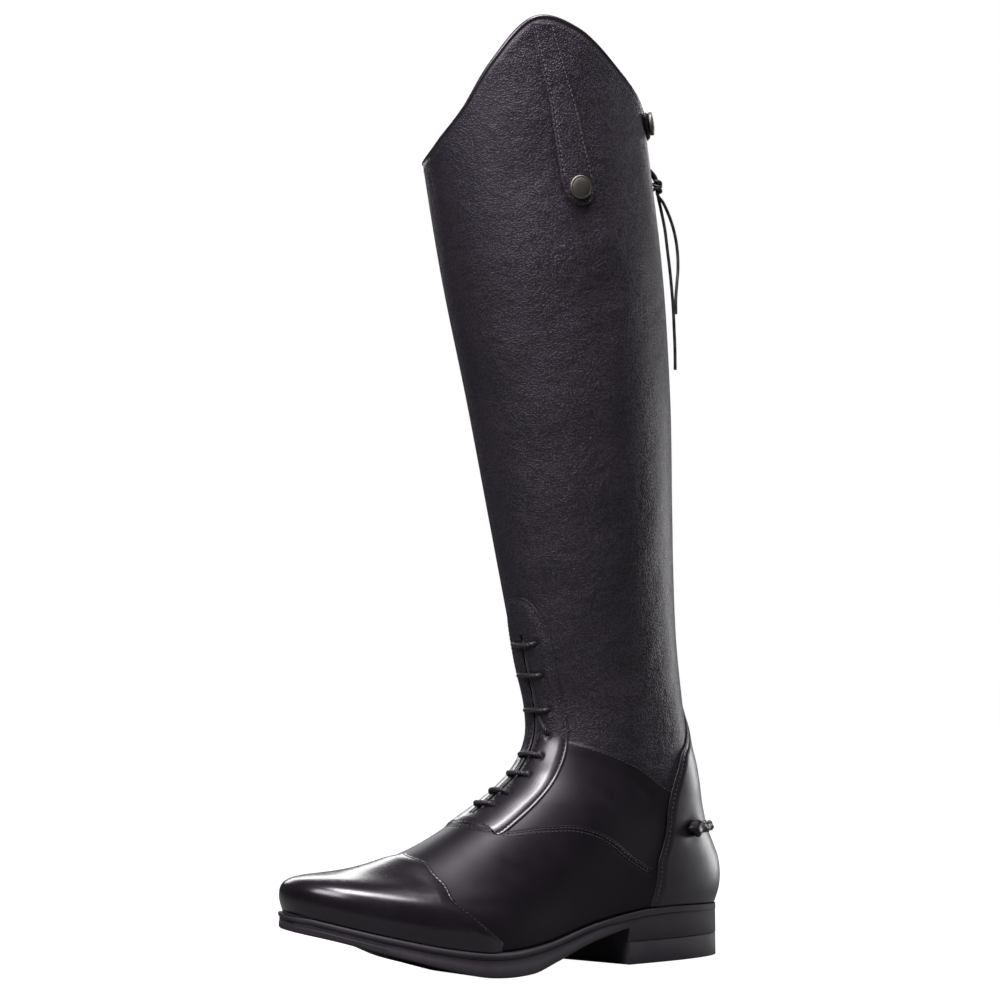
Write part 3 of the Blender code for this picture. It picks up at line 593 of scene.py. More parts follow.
def leg_place(share, rise):
    """Ring number and direction of a corner of the leg's grid."""
    half = np.minimum(share, 1 - share)
    low = edge_row(half * 360.0) - TUCK
    number = low + rise * (row_at_height(collar_height(share * 360.0)) - low)
    stop = turn_from_front(number, SLIT_HALF)
    start = turn_from_back(number, ZIP_HALF)
    body = start + (stop - start) * np.clip((half - LEG_SLOT) / (0.5 - LEG_SLIT - LEG_SLOT), 0, 1)
    back = start * half / LEG_SLOT
    front = 180 - (180 - stop) * (0.5 - half) / LEG_SLIT
    turn = np.where(half < LEG_SLOT, back, np.where(half > 0.5 - LEG_SLIT, front, body))
    turn = np.where(share > 0.5, 360 - turn, turn)
    low = edge_row(turn) - TUCK
    return low + rise * (row_at_height(collar_height(turn)) - low), turn


def leg_skin(share, rise):
    number, turn = leg_place(share, rise)
    at = skin(number, turn)
    sunk = -LEG_SUNK * (1 - ease(number - edge_row(turn), -0.05, 0.25))
    return skin_out(number, turn, sunk + troughs(LEG_CREASES, at))


build, shares = laid_grid(LEG_COLUMNS, LEG_LINES, leg_skin)
rows_of = leg_place(shares[:, 0], shares[:, 1])[0]
gaps = []
for face in build.faces:
    share = np.mean([shares[v.index][0] for v in face.verts])
    number = np.mean([rows_of[v.index] for v in face.verts])
    in_slit = abs(share - 0.5) < LEG_SLIT and number < SLIT_TOP_ROW
    in_slot = min(share, 1 - share) < LEG_SLOT and number > SLOT_FOOT_ROW
    if in_slit or in_slot:
        gaps.append(face)
bmesh.ops.delete(build, geom=gaps, context="FACES")
closed_up(build)
leg = wall(piece("leg", build, cowhide, lining), LEATHER, inside=1)
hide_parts("shaft")

# Vamp: the front of the foot, a second layer of calf that laps over the quarters in a long arc from
# the foot of the lacing to the heel counter, held by two rows of stitches.
VAMP_EDGE = (
    (50, 1.0), (60, 2.6), (80, 4.73), (106, 5.98), (125, 6.12), (142, 6.0), (152, 6.13), (165, 6.22),
    (180, 6.25),
)
VAMP_OUT = 0.75
VAMP_TURNS = (54.0, 306.0)
VAMP_SEAMS = (1.7, 3.5)
VAMP_SEWN = (62.0, 298.0)
VAMP_POINTS = 400
VAMP_GRID = (220, 60)
VAMP_ROUND = 0.4
VAMP_THICK = VAMP_OUT - 0.05
FOOT_ROW = 0.04
EDGE_CROWD = 1.7
EDGE_ROUND_WIDE = 0.9
PARED_WIDE = (0.6, 6.0)
STITCH_DENT = 0.26
STITCH_DENT_WIDE = 0.55
STITCH_PROUD = 0.02


def vamp_row(turn):
    return smooth(VAMP_EDGE, np.abs((np.asarray(turn) + 180.0) % 360.0 - 180.0))


def from_edge_of(edge, turn, number):
    """Millimetres on the leather from an edge given as ring number by direction, square to it."""
    along, across, _ = lie(number, turn)
    lean = (edge(turn + 0.5) - edge(turn - 0.5)) * np.linalg.norm(along, axis=-1)
    lean = lean / np.linalg.norm(across, axis=-1)
    return (edge(turn) - number) * np.linalg.norm(along, axis=-1) / np.sqrt(1 + lean**2)


def sewn_edge(away, rounding, rows, pared=0.0):
    """Relief of a sewn edge: pared thin, rolled down at the cut, and dented along each row of stitches."""
    dents = sum(STITCH_DENT * bump_at(away, row, STITCH_DENT_WIDE) for row in rows)
    rolled_down = -rounding * (1 - ease(away, 0.0, EDGE_ROUND_WIDE))
    return rolled_down - pared * (1 - ease(away, *PARED_WIDE)) - dents


def vamp_skin(share, rise):
    turn = VAMP_TURNS[0] + (VAMP_TURNS[1] - VAMP_TURNS[0]) * share
    number = FOOT_ROW + (vamp_row(turn) - FOOT_ROW) * (1 - (1 - rise) ** EDGE_CROWD)
    away = from_edge_of(vamp_row, turn, number)
    relief = sewn_edge(away, VAMP_ROUND, VAMP_SEAMS) + troughs(FOOT_CREASES, skin(number, turn))
    return skin_out(number, turn, VAMP_OUT + relief)


build, _ = laid_grid(*VAMP_GRID, vamp_skin)
# Flexed calf has lost some of its wax where the foot bends, so it shines less than the rest.
flexed_calf = calf_finish("flexed_calf", 0.5, 0.4, 0.05, 0.2)
vamp = wall(piece("vamp", build, flexed_calf), VAMP_THICK)
seam_turns = np.linspace(*VAMP_SEWN, VAMP_POINTS)
seam_rows = vamp_row(seam_turns)
tried = beside(seam_rows, seam_turns, np.ones(VAMP_POINTS))[0]
inward = -1.0 if tried[VAMP_POINTS // 2] > seam_rows[VAMP_POINTS // 2] else 1.0
seam_out = np.full(VAMP_POINTS, VAMP_OUT + STITCH_PROUD)
sewn("vamp_stitching", *[
    (*beside(seam_rows, seam_turns, np.full(VAMP_POINTS, inward * seam)), seam_out)
    for seam in VAMP_SEAMS
])

# Toe cap: a third layer of calf over the toe, its upper edge folded over and held by one row of
# stitches. It is stretched over a stiff toe and boned to a shine, so it is the glossiest part.
CAP_EDGE = ((108, 0.6), (116, 1.88), (127, 3.25), (149, 4.48), (180, 5.0))
CAP_OUT = 2.1
CAP_TAPER = 3.5
CAP_END_PARED = 0.9
CAP_PARED = 0.55
CAP_ROUND = 0.3
CAP_THICK = 0.7
CAP_GRID = (150, 64)
CAP_SEAM = 1.3
CAP_SEAM_OUT = CAP_OUT - 0.72
CAP_SEWN = (113.0, 247.0)
CAP_POINTS = 300


def cap_row(turn):
    return smooth(CAP_EDGE, np.abs((np.asarray(turn) + 180.0) % 360.0 - 180.0))


def cap_skin(share, rise):
    turn = CAP_EDGE[0][0] + (360 - 2 * CAP_EDGE[0][0]) * share
    number = FOOT_ROW + (cap_row(turn) - FOOT_ROW) * (1 - (1 - rise) ** EDGE_CROWD)
    away = from_edge_of(cap_row, turn, number)
    inside = ease(np.minimum(turn - CAP_EDGE[0][0], 360 - CAP_EDGE[0][0] - turn), 0.0, CAP_TAPER)
    edge = sewn_edge(away, CAP_ROUND, (CAP_SEAM,), CAP_PARED) * inside - CAP_END_PARED * (1 - inside)
    return skin_out(number, turn, CAP_OUT + edge)


build, _ = laid_grid(*CAP_GRID, cap_skin)
# Boned calf was rubbed hard with wax over the stiff toe, so its streaks of light have firm edges.
boned_calf = calf_finish("boned_calf", 0.3, 0.22, 0.35)
cap = wall(piece("cap", build, boned_calf), CAP_THICK)
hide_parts("toe_cap")
seam_turns = np.linspace(*CAP_SEWN, CAP_POINTS)
seam_line = beside(cap_row(seam_turns), seam_turns, np.full(CAP_POINTS, inward * CAP_SEAM))
sewn("cap_stitching", (*seam_line, np.full(CAP_POINTS, CAP_SEAM_OUT)))

# Heel counter: a stiff leaf of calf round the heel that narrows up the back to the foot of the zip.
# Its edge is turned over a thin cord, and a narrow stay is sewn down its middle.
COUNTER_SPAN = (
    (0.0, 58.7), (2.5, 58.3), (5.4, 61.5), (7.0, 66.5), (7.65, 67.5), (8.6, 65), (9.5, 56), (10.15, 36),
    (10.45, 20), (10.7, 9),
)
COUNTER_TOP = 10.68
COUNTER_OUT = 2.25
COUNTER_PARED = 0.95
COUNTER_ROUND = 0.2
COUNTER_THICK = 0.6
COUNTER_GRID = (150, 120)
COUNTER_SEAM = 2.6
COUNTER_SEAM_OUT = COUNTER_OUT - 0.75
COUNTER_SEWN = (0.3, 10.2)
COUNTER_CORD = 0.3
COUNTER_CORD_OUT = COUNTER_OUT - 1.4
COUNTER_CORD_FOOT = 0.06
BACK_STAY_WIDE = 5.5
BACK_STAY_OUT = 0.6
BACK_STAY_FOOT = (5.9, 6.1)
BACK_STAY_SEAM = BACK_STAY_WIDE - 1.6
BACK_STAY_DENT = 0.14
BACK_STAY_SEWN = (6.15, 10.45)
SPUR_ROW = 5.42
SPUR_TURN = 49.5
SPUR_SEAT = 0.5
SPUR_DENT_WIDE = 6.5
SPUR_DENT_DEEP = 1.0


def counter_skin(share, rise):
    number = FOOT_ROW + (COUNTER_TOP - FOOT_ROW) * rise
    side = np.sin((share - 0.5) * np.pi)
    turn = side * smooth(COUNTER_SPAN, number)
    across = np.linalg.norm(lie(number, turn)[1], axis=-1)
    away = (smooth(COUNTER_SPAN, number) - np.abs(turn)) * across
    middle = np.abs(turn) * across
    from_foot = ease(number, *BACK_STAY_FOOT)
    stay = BACK_STAY_OUT * (1 - ease(middle, BACK_STAY_WIDE - 0.6, BACK_STAY_WIDE)) * from_foot
    dents = -BACK_STAY_DENT * bump_at(middle, BACK_STAY_SEAM, 0.45) * from_foot
    seat = -SPUR_SEAT * bump_at(number, SPUR_ROW, 0.35) * (np.abs(turn) < 60)
    ends = np.linalg.norm(skin(number, np.abs(turn)) - skin(SPUR_ROW, SPUR_TURN - 3.0), axis=1)
    seat -= SPUR_DENT_DEEP * bump_at(ends, 0.0, SPUR_DENT_WIDE)
    edge = sewn_edge(away, COUNTER_ROUND, (COUNTER_SEAM,), COUNTER_PARED)
    return skin_out(number, turn, COUNTER_OUT + edge + stay + dents + seat)


build, _ = laid_grid(*COUNTER_GRID, counter_skin)
# Stiffened calf is stretched over a hard shell, so it is even, with a broad and soft shine.
stiff_calf = calf_finish("stiffened_calf", 0.5, 0.4, 0.35)
counter = wall(piece("counter", build, stiff_calf), COUNTER_THICK)
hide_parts("heel_counter")


def tube_along(line, up, radius, sides):
    """A round cord along a line of points, closed at both ends, with its seam away from up."""
    line = np.asarray(line, float)
    run = np.gradient(line, axis=0)
    run /= np.linalg.norm(run, axis=1, keepdims=True)
    side = np.cross(run, up)
    side /= np.linalg.norm(side, axis=1, keepdims=True)
    over = np.cross(side, run)
    count = len(line) - 1
    radii = np.full(count + 1, float(radius))
    radii[[0, -1]] = 0.0

    def where(share, rise):
        k = np.rint(share * count).astype(int)
        angle = 2 * np.pi * rise
        ring = -over[k] * np.cos(angle)[:, None] + side[k] * np.sin(angle)[:, None]
        return line[k] + ring * radii[k][:, None]

    build, _ = laid_grid(count, sides, where)
    closed_up(build)
    bmesh.ops.recalc_face_normals(build, faces=build.faces)
    return build


def joined(builds):
    """Several meshes as one."""
    whole = bmesh.new()
    whole.loops.layers.uv.new("UVMap")
    for build in builds:
        mesh = bpy.data.meshes.new("part")
        build.to_mesh(mesh)
        build.free()
        whole.from_mesh(mesh)
        bpy.data.meshes.remove(mesh)
    return whole


EDGE_POINTS = 130
edge_rows = np.linspace(COUNTER_CORD_FOOT, COUNTER_TOP, EDGE_POINTS)
edge_turns = smooth(COUNTER_SPAN, edge_rows)
cords = []
for way in (1, -1):
    line = skin_out(edge_rows, way * edge_turns, np.full(EDGE_POINTS, COUNTER_CORD_OUT))
    cords.append(tube_along(line, lie(edge_rows, way * edge_turns)[2], COUNTER_CORD, 10))
counter_edge = piece("counter_edge", joined(cords), stiff_calf)
SIDE_POINTS = 260
BACK_POINTS = 160
side_rows = np.linspace(*COUNTER_SEWN, SIDE_POINTS)
side_out = np.full(SIDE_POINTS, COUNTER_SEAM_OUT)
back_rows = np.linspace(*BACK_STAY_SEWN, BACK_POINTS)
back_out = np.full(BACK_POINTS, COUNTER_OUT + BACK_STAY_OUT + STITCH_PROUD)
counter_sewn = []
for way in (1, -1):
    across = np.linalg.norm(lie(side_rows, way * smooth(COUNTER_SPAN, side_rows))[1], axis=-1)
    side_turns = way * (smooth(COUNTER_SPAN, side_rows) - COUNTER_SEAM / across)
    counter_sewn.append((side_rows, side_turns, side_out))
    counter_sewn.append((back_rows, way * turn_from_back(back_rows, BACK_STAY_SEAM), back_out))
sewn("counter_stitching", *counter_sewn)

# Spur rest: a strip of calf rolled and twisted into a low ridge round the back of the heel. Its two
# ends swell into knobs that are sewn down in dents of the counter. It keeps a spur from sliding.
SPUR_R = 1.95
SPUR_KNOB = 0.85
SPUR_OUT = COUNTER_OUT + SPUR_R - 0.5
SPUR_TWIST = 7.0
SPUR_STRAND = 0.24
SPUR_UNEVEN = 0.05
SPUR_FLAT = 1.25
SPUR_TUCK = 1.2
SPUR_MM_PER_DEGREE = 0.62
SPUR_GRID = (180, 20)


def spur_place(share, rise):
    turn = SPUR_TURN * (2 * share - 1)
    number = np.full(len(turn), SPUR_ROW)
    ends = np.sqrt(np.clip(1 - np.abs(2 * share - 1) ** 14, 0, 1))
    angle = 2 * np.pi * rise
    run = SPUR_TURN * (2 * share - 1) * SPUR_MM_PER_DEGREE
    knob = 1 + SPUR_KNOB * bump_at(np.abs(2 * share - 1), 0.9, 0.1)
    strands = SPUR_STRAND * np.sin(2 * angle + run * 2 * np.pi / SPUR_TWIST)
    ripple = 1 + strands + SPUR_UNEVEN * np.sin(3 * angle - run * 1.7)
    lift = SPUR_OUT - SPUR_TUCK * (1 - ends)
    normal = lie(number, turn)[2]
    run_way = skin(number, turn + 0.5) - skin(number, turn - 0.5)
    side = np.cross(normal, run_way)
    side /= np.linalg.norm(side, axis=1, keepdims=True)
    ring = normal * np.cos(angle)[:, None] + SPUR_FLAT * side * np.sin(angle)[:, None]
    return skin(number, turn) + normal * lift[:, None] + ring * (SPUR_R * knob * ripple * ends)[:, None]


build, _ = laid_grid(*SPUR_GRID, spur_place)
closed_up(build)
bmesh.ops.recalc_face_normals(build, faces=build.faces)
spur = piece("spur_roll", build, calf)
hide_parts("spur_rest")

# Eyestay: a long frame round the throat, of calf on the foot and cowhide on the leg, sewn along both
# edges, with a punched hole at each end of every lace bar. The leather dips a little into each hole.
STAY_OUTER = (
    (180, 12.05), (168, 12.0), (158, 11.75), (153, 11.3), (152, 10.7), (151, 10.1), (149, 9.5), (147, 8.9),
    (145.5, 8.4), (144, 7.9), (142, 7.3), (141, 6.5), (141.5, 5.85), (148, 5.98), (156, 6.12), (164, 6.2),
    (172, 6.24), (180, 6.25),
)
STAY_INNER = (
    (0.0, 11.5), (0.6, 11.5), (1.1, 11.42), (1.4, 11.15), (1.4, 10.7), (1.4, 10.1), (1.4, 9.5), (1.4, 8.9),
    (1.4, 8.4), (1.4, 7.9), (1.4, 7.35), (1.4, 7.05), (1.4, 6.9), (1.35, 6.78), (1.2, 6.7), (0.9, 6.64),
    (0.5, 6.6), (0.0, 6.6),
)
EYESTAY_OUT = 1.8
LACE_BARS = (
    (11.36, 9.5), (10.75, 9.5), (9.88, 9.5), (8.48, 8.0), (7.9, 7.6), (7.28, 7.4), (6.86, 7.4),
)
HOLE_R = 1.9
HOLE_DEEP = 0.9
GRAIN_FROM = 125.0
STAY_OUTER_SEAM = 1.7
STAY_OUTER_SEAM_OUT = EYESTAY_OUT - 0.7
STAY_OUTER_ROUND = 0.3
STAY_PARED = 0.75
STAY_INNER_SEAM = 1.5
STAY_INNER_ROUND = 0.5
STAY_THICK = 0.7
STAY_GRID = (300, 40)
STAY_POINTS = 500
THROAT_FOOT = (6.45, 180.0)
DIAGONAL_HEAD = (9.8, 2.0)
DIAGONAL_FOOT = (9.12, 8.4)


def stay_loop(points, by_reach):
    half = [(turn_from_front(n, v) if by_reach else v, n) for v, n in points]
    half += [(360.0 - t, n) for t, n in half[-2:0:-1]]
    return np.array(half + half[:1], float)


def round_loop(loop, share):
    return hermite(np.linspace(0, 1, len(loop)), loop, share)


inner_loop = stay_loop(STAY_INNER, True)
outer_loop = stay_loop(STAY_OUTER, False)
holes = [skin(n, turn_from_front(n, way * reach)) for n, reach in LACE_BARS for way in (1, -1)]
holes.append(skin(DIAGONAL_FOOT[0], turn_from_front(DIAGONAL_FOOT[0], DIAGONAL_FOOT[1])))


def stay_skin(share, rise):
    spread = rise * rise * (3 - 2 * rise)
    inner = round_loop(inner_loop, share)
    outer = round_loop(outer_loop, share)
    at = inner + (outer - inner) * spread[:, None]
    points = skin(at[:, 1], at[:, 0])
    from_outer = np.linalg.norm(points - skin(outer[:, 1], outer[:, 0]), axis=1)
    from_inner = np.linalg.norm(points - skin(inner[:, 1], inner[:, 0]), axis=1)
    relief = sewn_edge(from_outer, STAY_OUTER_ROUND, (STAY_OUTER_SEAM,), STAY_PARED)
    relief = relief + sewn_edge(from_inner, STAY_INNER_ROUND, (STAY_INNER_SEAM,))
    away = np.min([np.linalg.norm(points - hole, axis=1) for hole in holes], axis=0)
    dimple = -HOLE_DEEP * np.exp(-((away / HOLE_R) ** 4))
    return skin_out(at[:, 1], at[:, 0], EYESTAY_OUT + relief + dimple)


build, _ = laid_grid(*STAY_GRID, stay_skin)
closed_up(build)
bmesh.ops.recalc_face_normals(build, faces=build.faces)
throat_foot = Vector(place(skin(*THROAT_FOOT)))
nearest = min(build.faces, key=lambda f: (f.calc_center_median() - throat_foot).length)
if nearest.normal.dot(Vector(lie(*THROAT_FOOT)[2])) < 0:
    bmesh.ops.reverse_faces(build, faces=build.faces)
# Glazed calf was polished under a glass roller, so it carries the brightest coat of the boot.
glazed_calf = calf_finish("glazed_calf", 0.4, 0.3, 0.6)
for face in build.faces:
    face.material_index = int(face.calc_center_median().z > GRAIN_FROM * MM)
stay = wall(piece("stay", build, glazed_calf, cowhide), STAY_THICK, even=False)
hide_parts("eyestay")
loop_share = np.linspace(0, 1, STAY_POINTS)
outer_line = round_loop(outer_loop, loop_share)
inner_line = round_loop(inner_loop, loop_share)
gap = skin(outer_line[:, 1], outer_line[:, 0]) - skin(inner_line[:, 1], inner_line[:, 0])
gap = np.linalg.norm(gap, axis=1)
stay_sewn = []
outer_seam = (1 - STAY_OUTER_SEAM / gap, STAY_OUTER_SEAM_OUT)
inner_seam = (STAY_INNER_SEAM / gap, EYESTAY_OUT + STITCH_PROUD)
for share, out in (outer_seam, inner_seam):
    line = inner_line + (outer_line - inner_line) * share[:, None]
    stay_sewn.append((line[:, 1], line[:, 0], np.full(STAY_POINTS, out)))
sewn("stay_stitching", *stay_sewn)

# Tongue: a gusset of black ribbed elastic behind the throat, sewn to the lining at both sides. It
# swells a little between the two edges of the eyestay, under the lace.
TONGUE_ROWS = (6.25, 12.2)
TONGUE_HALF = 14.0
TONGUE_LONG = 140.0
TONGUE_BEHIND = 0.6
TONGUE_THICK = 1.4
TONGUE_SWELL = 3.4
TONGUE_SWELL_WIDE = 3.2
TONGUE_SWELL_FOOT = (6.5, 6.9)
TONGUE_SWELL_HEAD = (11.3, 11.75)
TONGUE_GRID = (44, 160)
# Ribbed elastic is a dull knit with a little fuzz, painted darker between its ribs as shade. The wave
# repeats every 0.63 of a step, so the ribs are about 0.7 mm apart and the rows across them 1 mm.
RIB_STEP = 1.1
KNIT_STEP = 1.6
elastic, tree, shader, coords = finish_of("ribbed_elastic", {"Roughness": 0.85, "Sheen Weight": 0.25})
scaled = add(tree, "ShaderNodeMapping", {}, {
    "Vector": coords.outputs["UV"], "Scale": (2 * TONGUE_HALF / KNIT_STEP, TONGUE_LONG / RIB_STEP, 1.0),
})
rib = add(tree, "ShaderNodeTexWave", {"bands_direction": "Y"}, {
    "Vector": scaled.outputs["Vector"], "Scale": 0.5, "Distortion": 0.6, "Detail": 1.0,
})
knit = add(tree, "ShaderNodeTexWave", {"bands_direction": "X"}, {
    "Vector": scaled.outputs["Vector"], "Scale": 0.5, "Distortion": 0.4, "Detail": 1.0,
})
weave = add(tree, "ShaderNodeMath", {"operation": "MULTIPLY"}, {
    0: rib.outputs["Fac"], 1: knit.outputs["Fac"],
})
# Painted shade: the knit is coloured darker between its ribs.
tone = add(tree, "ShaderNodeMix", {"data_type": "RGBA"}, {
    "Factor": weave.outputs["Value"], 6: colour("#1d191f"), 7: colour("#3e393f"),
})
tree.links.new(tone.outputs[2], shader.inputs["Base Color"])
rough = add(tree, "ShaderNodeBump", {}, {
    "Strength": 0.8, "Distance": 0.35 * MM, "Height": weave.outputs["Value"],
})
tree.links.new(rough.outputs["Normal"], shader.inputs["Normal"])


def tongue_skin(share, rise):
    number = TONGUE_ROWS[0] + (TONGUE_ROWS[1] - TONGUE_ROWS[0]) * rise
    reach = TONGUE_HALF * (1 - 2 * share)
    swell = TONGUE_SWELL * bump_at(reach, 0.0, TONGUE_SWELL_WIDE)
    swell = swell * ease(number, *TONGUE_SWELL_FOOT) * (1 - ease(number, *TONGUE_SWELL_HEAD))
    return skin_out(number, turn_from_front(number, reach), -LEATHER - TONGUE_BEHIND + swell)


build, _ = laid_grid(*TONGUE_GRID, tongue_skin)
gusset = wall(piece("gusset", build, elastic), TONGUE_THICK)
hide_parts("tongue")

# Lace: a round waxed lace, braided over a core, laid in level bars across the throat. Each bar comes
# up through its hole, crosses and goes down the other side. One run slants to a hole of its own.
LACE_R = 1.35
LACE_SIDES = 12
LACE_RUN = 26.0
BAR_SAG = 0.02
BAR_POINTS = 41
SLANT_POINTS = 30
# Braided lace is painted dark between its strands as shade and paler on their tops as a painted highlight,
# a broken gleam. The wave repeats every 1.4 steps, so the strands are about 2 mm apart along a bar.
PLAIT_STEP = 1.5
PLAIT_ROUND = 6.0
lace_cord, tree, shader, coords = finish_of("braided_lace", {"Roughness": 0.5, "Sheen Weight": 0.04})
scaled = add(tree, "ShaderNodeMapping", {}, {
    "Vector": coords.outputs["UV"], "Scale": (LACE_RUN / PLAIT_STEP, PLAIT_ROUND, 1.0),
})
plait = add(tree, "ShaderNodeTexWave", {"bands_direction": "DIAGONAL"}, {
    "Vector": scaled.outputs["Vector"], "Scale": 0.45, "Distortion": 0.3,
})
# Painted shade between the strands and a painted highlight on their tops.
tone = add(tree, "ShaderNodeMix", {"data_type": "RGBA"}, {
    "Factor": plait.outputs["Fac"], 6: colour("#0f0c11"), 7: colour("#2b262e"),
})
tree.links.new(tone.outputs[2], shader.inputs["Base Color"])
ridge = add(tree, "ShaderNodeBump", {}, {
    "Strength": 0.7, "Distance": 0.3 * MM, "Height": plait.outputs["Fac"],
})
tree.links.new(ridge.outputs["Normal"], shader.inputs["Normal"])
BAR_RISE = ((0.0, -1.2), (0.02, 0.4), (0.055, 1.9), (0.11, 2.75), (0.2, 3.2), (0.5, 3.35))
SLANT_RISE = ((0.0, -0.6), (0.12, 0.6), (0.3, 2.0), (0.75, 3.1), (0.9, 1.9), (1.0, -1.0))


def lace_run(rows, turns, share, rise):
    """A run of lace on the leather, lifted along its length by a table of heights."""
    out = np.interp(share, [r[0] for r in rise], [r[1] for r in rise])
    out = np.convolve(np.pad(out, 2, mode="edge"), np.ones(5) / 5, mode="valid")
    return tube_along(skin_out(rows, turns, out), lie(rows, turns)[2], LACE_R, LACE_SIDES)


bar_share = np.linspace(0, 1, BAR_POINTS)
bars = []
for k, (number, reach) in enumerate(LACE_BARS):
    rows = number + BAR_SAG * np.sin(bar_share * np.pi) * (1 if k % 2 else -1)
    turns = turn_from_front(rows, reach * (1 - 2 * bar_share))
    bars.append(lace_run(rows, turns, np.minimum(bar_share, 1 - bar_share), BAR_RISE))
slant = np.linspace(0, 1, SLANT_POINTS)
rows = DIAGONAL_HEAD[0] + (DIAGONAL_FOOT[0] - DIAGONAL_HEAD[0]) * slant
turns = turn_from_front(rows, DIAGONAL_HEAD[1] + (DIAGONAL_FOOT[1] - DIAGONAL_HEAD[1]) * slant)
bars.append(lace_run(rows, turns, slant, SLANT_RISE))
lacing = piece("lacing", joined(bars), lace_cord)
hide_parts("lace")

# Collar piping: a strip of calf rolled over a cord and sewn between leather and lining all round the
# collar, open at the zip, with a row of stitches just under it.
PIPING_R = 1.4
PIPING_LIFT = 0.8
PIPING_FROM_ZIP = 1.5
PIPING_SIDES = 14
PIPING_POINTS = 320
HEM_TURNS = (12.0, 348.0)
HEM_DROP = 3.2
HEM_POINTS = 500
pipe_start = turn_from_back(row_at_height(COLLAR[0][1]), ZIP_HALF + PIPING_FROM_ZIP)
pipe_turns = np.linspace(pipe_start, 360 - pipe_start, PIPING_POINTS)
pipe_rows = row_at_height(collar_height(pipe_turns))
edge_line = skin_out(pipe_rows, pipe_turns, np.full(PIPING_POINTS, -LEATHER / 2))
edge_run = np.gradient(edge_line, axis=0)
edge_up = np.cross(lie(pipe_rows, pipe_turns)[2], edge_run)
edge_up *= np.sign(edge_up[:, 2:]) / np.linalg.norm(edge_up, axis=1, keepdims=True)
build = tube_along(edge_line + edge_up * PIPING_LIFT, edge_up, PIPING_R, PIPING_SIDES)
piping = piece("piping", build, glazed_calf)
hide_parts("collar_piping")
hem_turns = np.linspace(*HEM_TURNS, HEM_POINTS)
hem_rows = row_at_height(collar_height(hem_turns))
tried = beside(hem_rows, hem_turns, np.ones(HEM_POINTS))[0]
down = -1.0 if tried[HEM_POINTS // 2] > hem_rows[HEM_POINTS // 2] else 1.0
hem_line = beside(hem_rows, hem_turns, np.full(HEM_POINTS, down * HEM_DROP))
sewn("collar_stitching", (*hem_line, np.zeros(HEM_POINTS)))

# Garter strap: a narrow strap of the leg's own cowhide, sewn down along both edges from the collar's
# peak, with a free rounded end that a snap stud holds.
STRAP = ((413, 106.6), (427, 106.5), (446, 107.5), (469, 108.5), (490, 111.0), (512, 113.3))
STRAP_HALF = ((419, 7.8), (425, 8.6), (446, 8.0), (480, 6.8), (514, 6.0))
STRAP_FOOT = 413.0
STRAP_TIP = 9.0
STRAP_TOP = 510.0
STRAP_OUT = 1.8
STRAP_SINK = 0.9
STRAP_SINK_AT = (440.0, 500.0)
STRAP_ROUND = 0.5
STRAP_THICK = 1.3
STRAP_GRID = (40, 150)
STRAP_SEAM = 1.7
STRAP_SEWN = (428.0, 508.0)
STRAP_POINTS = 160
LEG_RADIUS = 60.0


def strap_half(height):
    tip_top = STRAP_FOOT + STRAP_TIP
    near_tip = np.sqrt(np.clip(1 - ((tip_top - np.minimum(height, tip_top)) / STRAP_TIP) ** 2, 0.0, 1))
    return near_tip * smooth(STRAP_HALF, height)


def strap_out(height):
    """The strap lies flatter towards the collar, where it is sewn under the piping."""
    return STRAP_OUT - STRAP_SINK * ease(height, *STRAP_SINK_AT)


def strap_skin(share, rise):
    height = STRAP_FOOT + (STRAP_TOP - STRAP_FOOT) * rise**1.3
    side = np.sin((share - 0.5) * np.pi)
    half = strap_half(height)
    turn = smooth(STRAP, height) + side * np.degrees(half / LEG_RADIUS)
    away = np.minimum(half * (1 - np.abs(side)), (height - STRAP_FOOT) * 1.2)
    edge = sewn_edge(away, STRAP_ROUND, (STRAP_SEAM,))
    return skin_out(row_at_height(height), turn, strap_out(height) + edge)


build, _ = laid_grid(*STRAP_GRID, strap_skin)
closed_up(build)
strap = wall(piece("strap", build, cowhide), STRAP_THICK)
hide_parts("garter_strap")
sew_heights = np.linspace(*STRAP_SEWN, STRAP_POINTS)
sew_rows = row_at_height(sew_heights)
sew_out = strap_out(sew_heights) + STITCH_PROUD
sew_reach = np.degrees((strap_half(sew_heights) - STRAP_SEAM) / LEG_RADIUS)
# The strap's thread is painted grey, paler than the black thread elsewhere, as a painted highlight on its
# stitches.
grey_glint_thread, tree, shader, coords = finish_of("grey_glint_thread", {"Roughness": 0.45, "Sheen Weight": 0.2})
fleck = add(tree, "ShaderNodeTexNoise", {}, {
    "Vector": coords.outputs["Object"], "Scale": 1 / (THREAD_FLECK * MM),
})
# Painted highlight: the strap's stitches are coloured grey so that they look lit.
tone = add(tree, "ShaderNodeMix", {"data_type": "RGBA"}, {
    "Factor": fleck.outputs["Fac"], 6: colour("#353237"), 7: colour("#5b575c"),
})
tree.links.new(tone.outputs[2], shader.inputs["Base Color"])
sewn("strap_stitching", *[
    (sew_rows, smooth(STRAP, sew_heights) + way * sew_reach, sew_out) for way in (1, -1)
], yarn=grey_glint_thread)

# Zip tab: a short strap of cowhide across the top of the zip, sewn at the inner side and snapped
# shut on the outer side.
TAB_TURNS = (-34.0, 47.0)
TAB_STUD_TURN = 39.0
TAB_DROP = 6.6
TAB_HALF = 5.7
TAB_OUT = 2.5
TAB_ROUND = 0.5
TAB_THICK = 1.5
TAB_GRID = (110, 26)
TAB_SEAM = 1.6
TAB_POINTS = 160


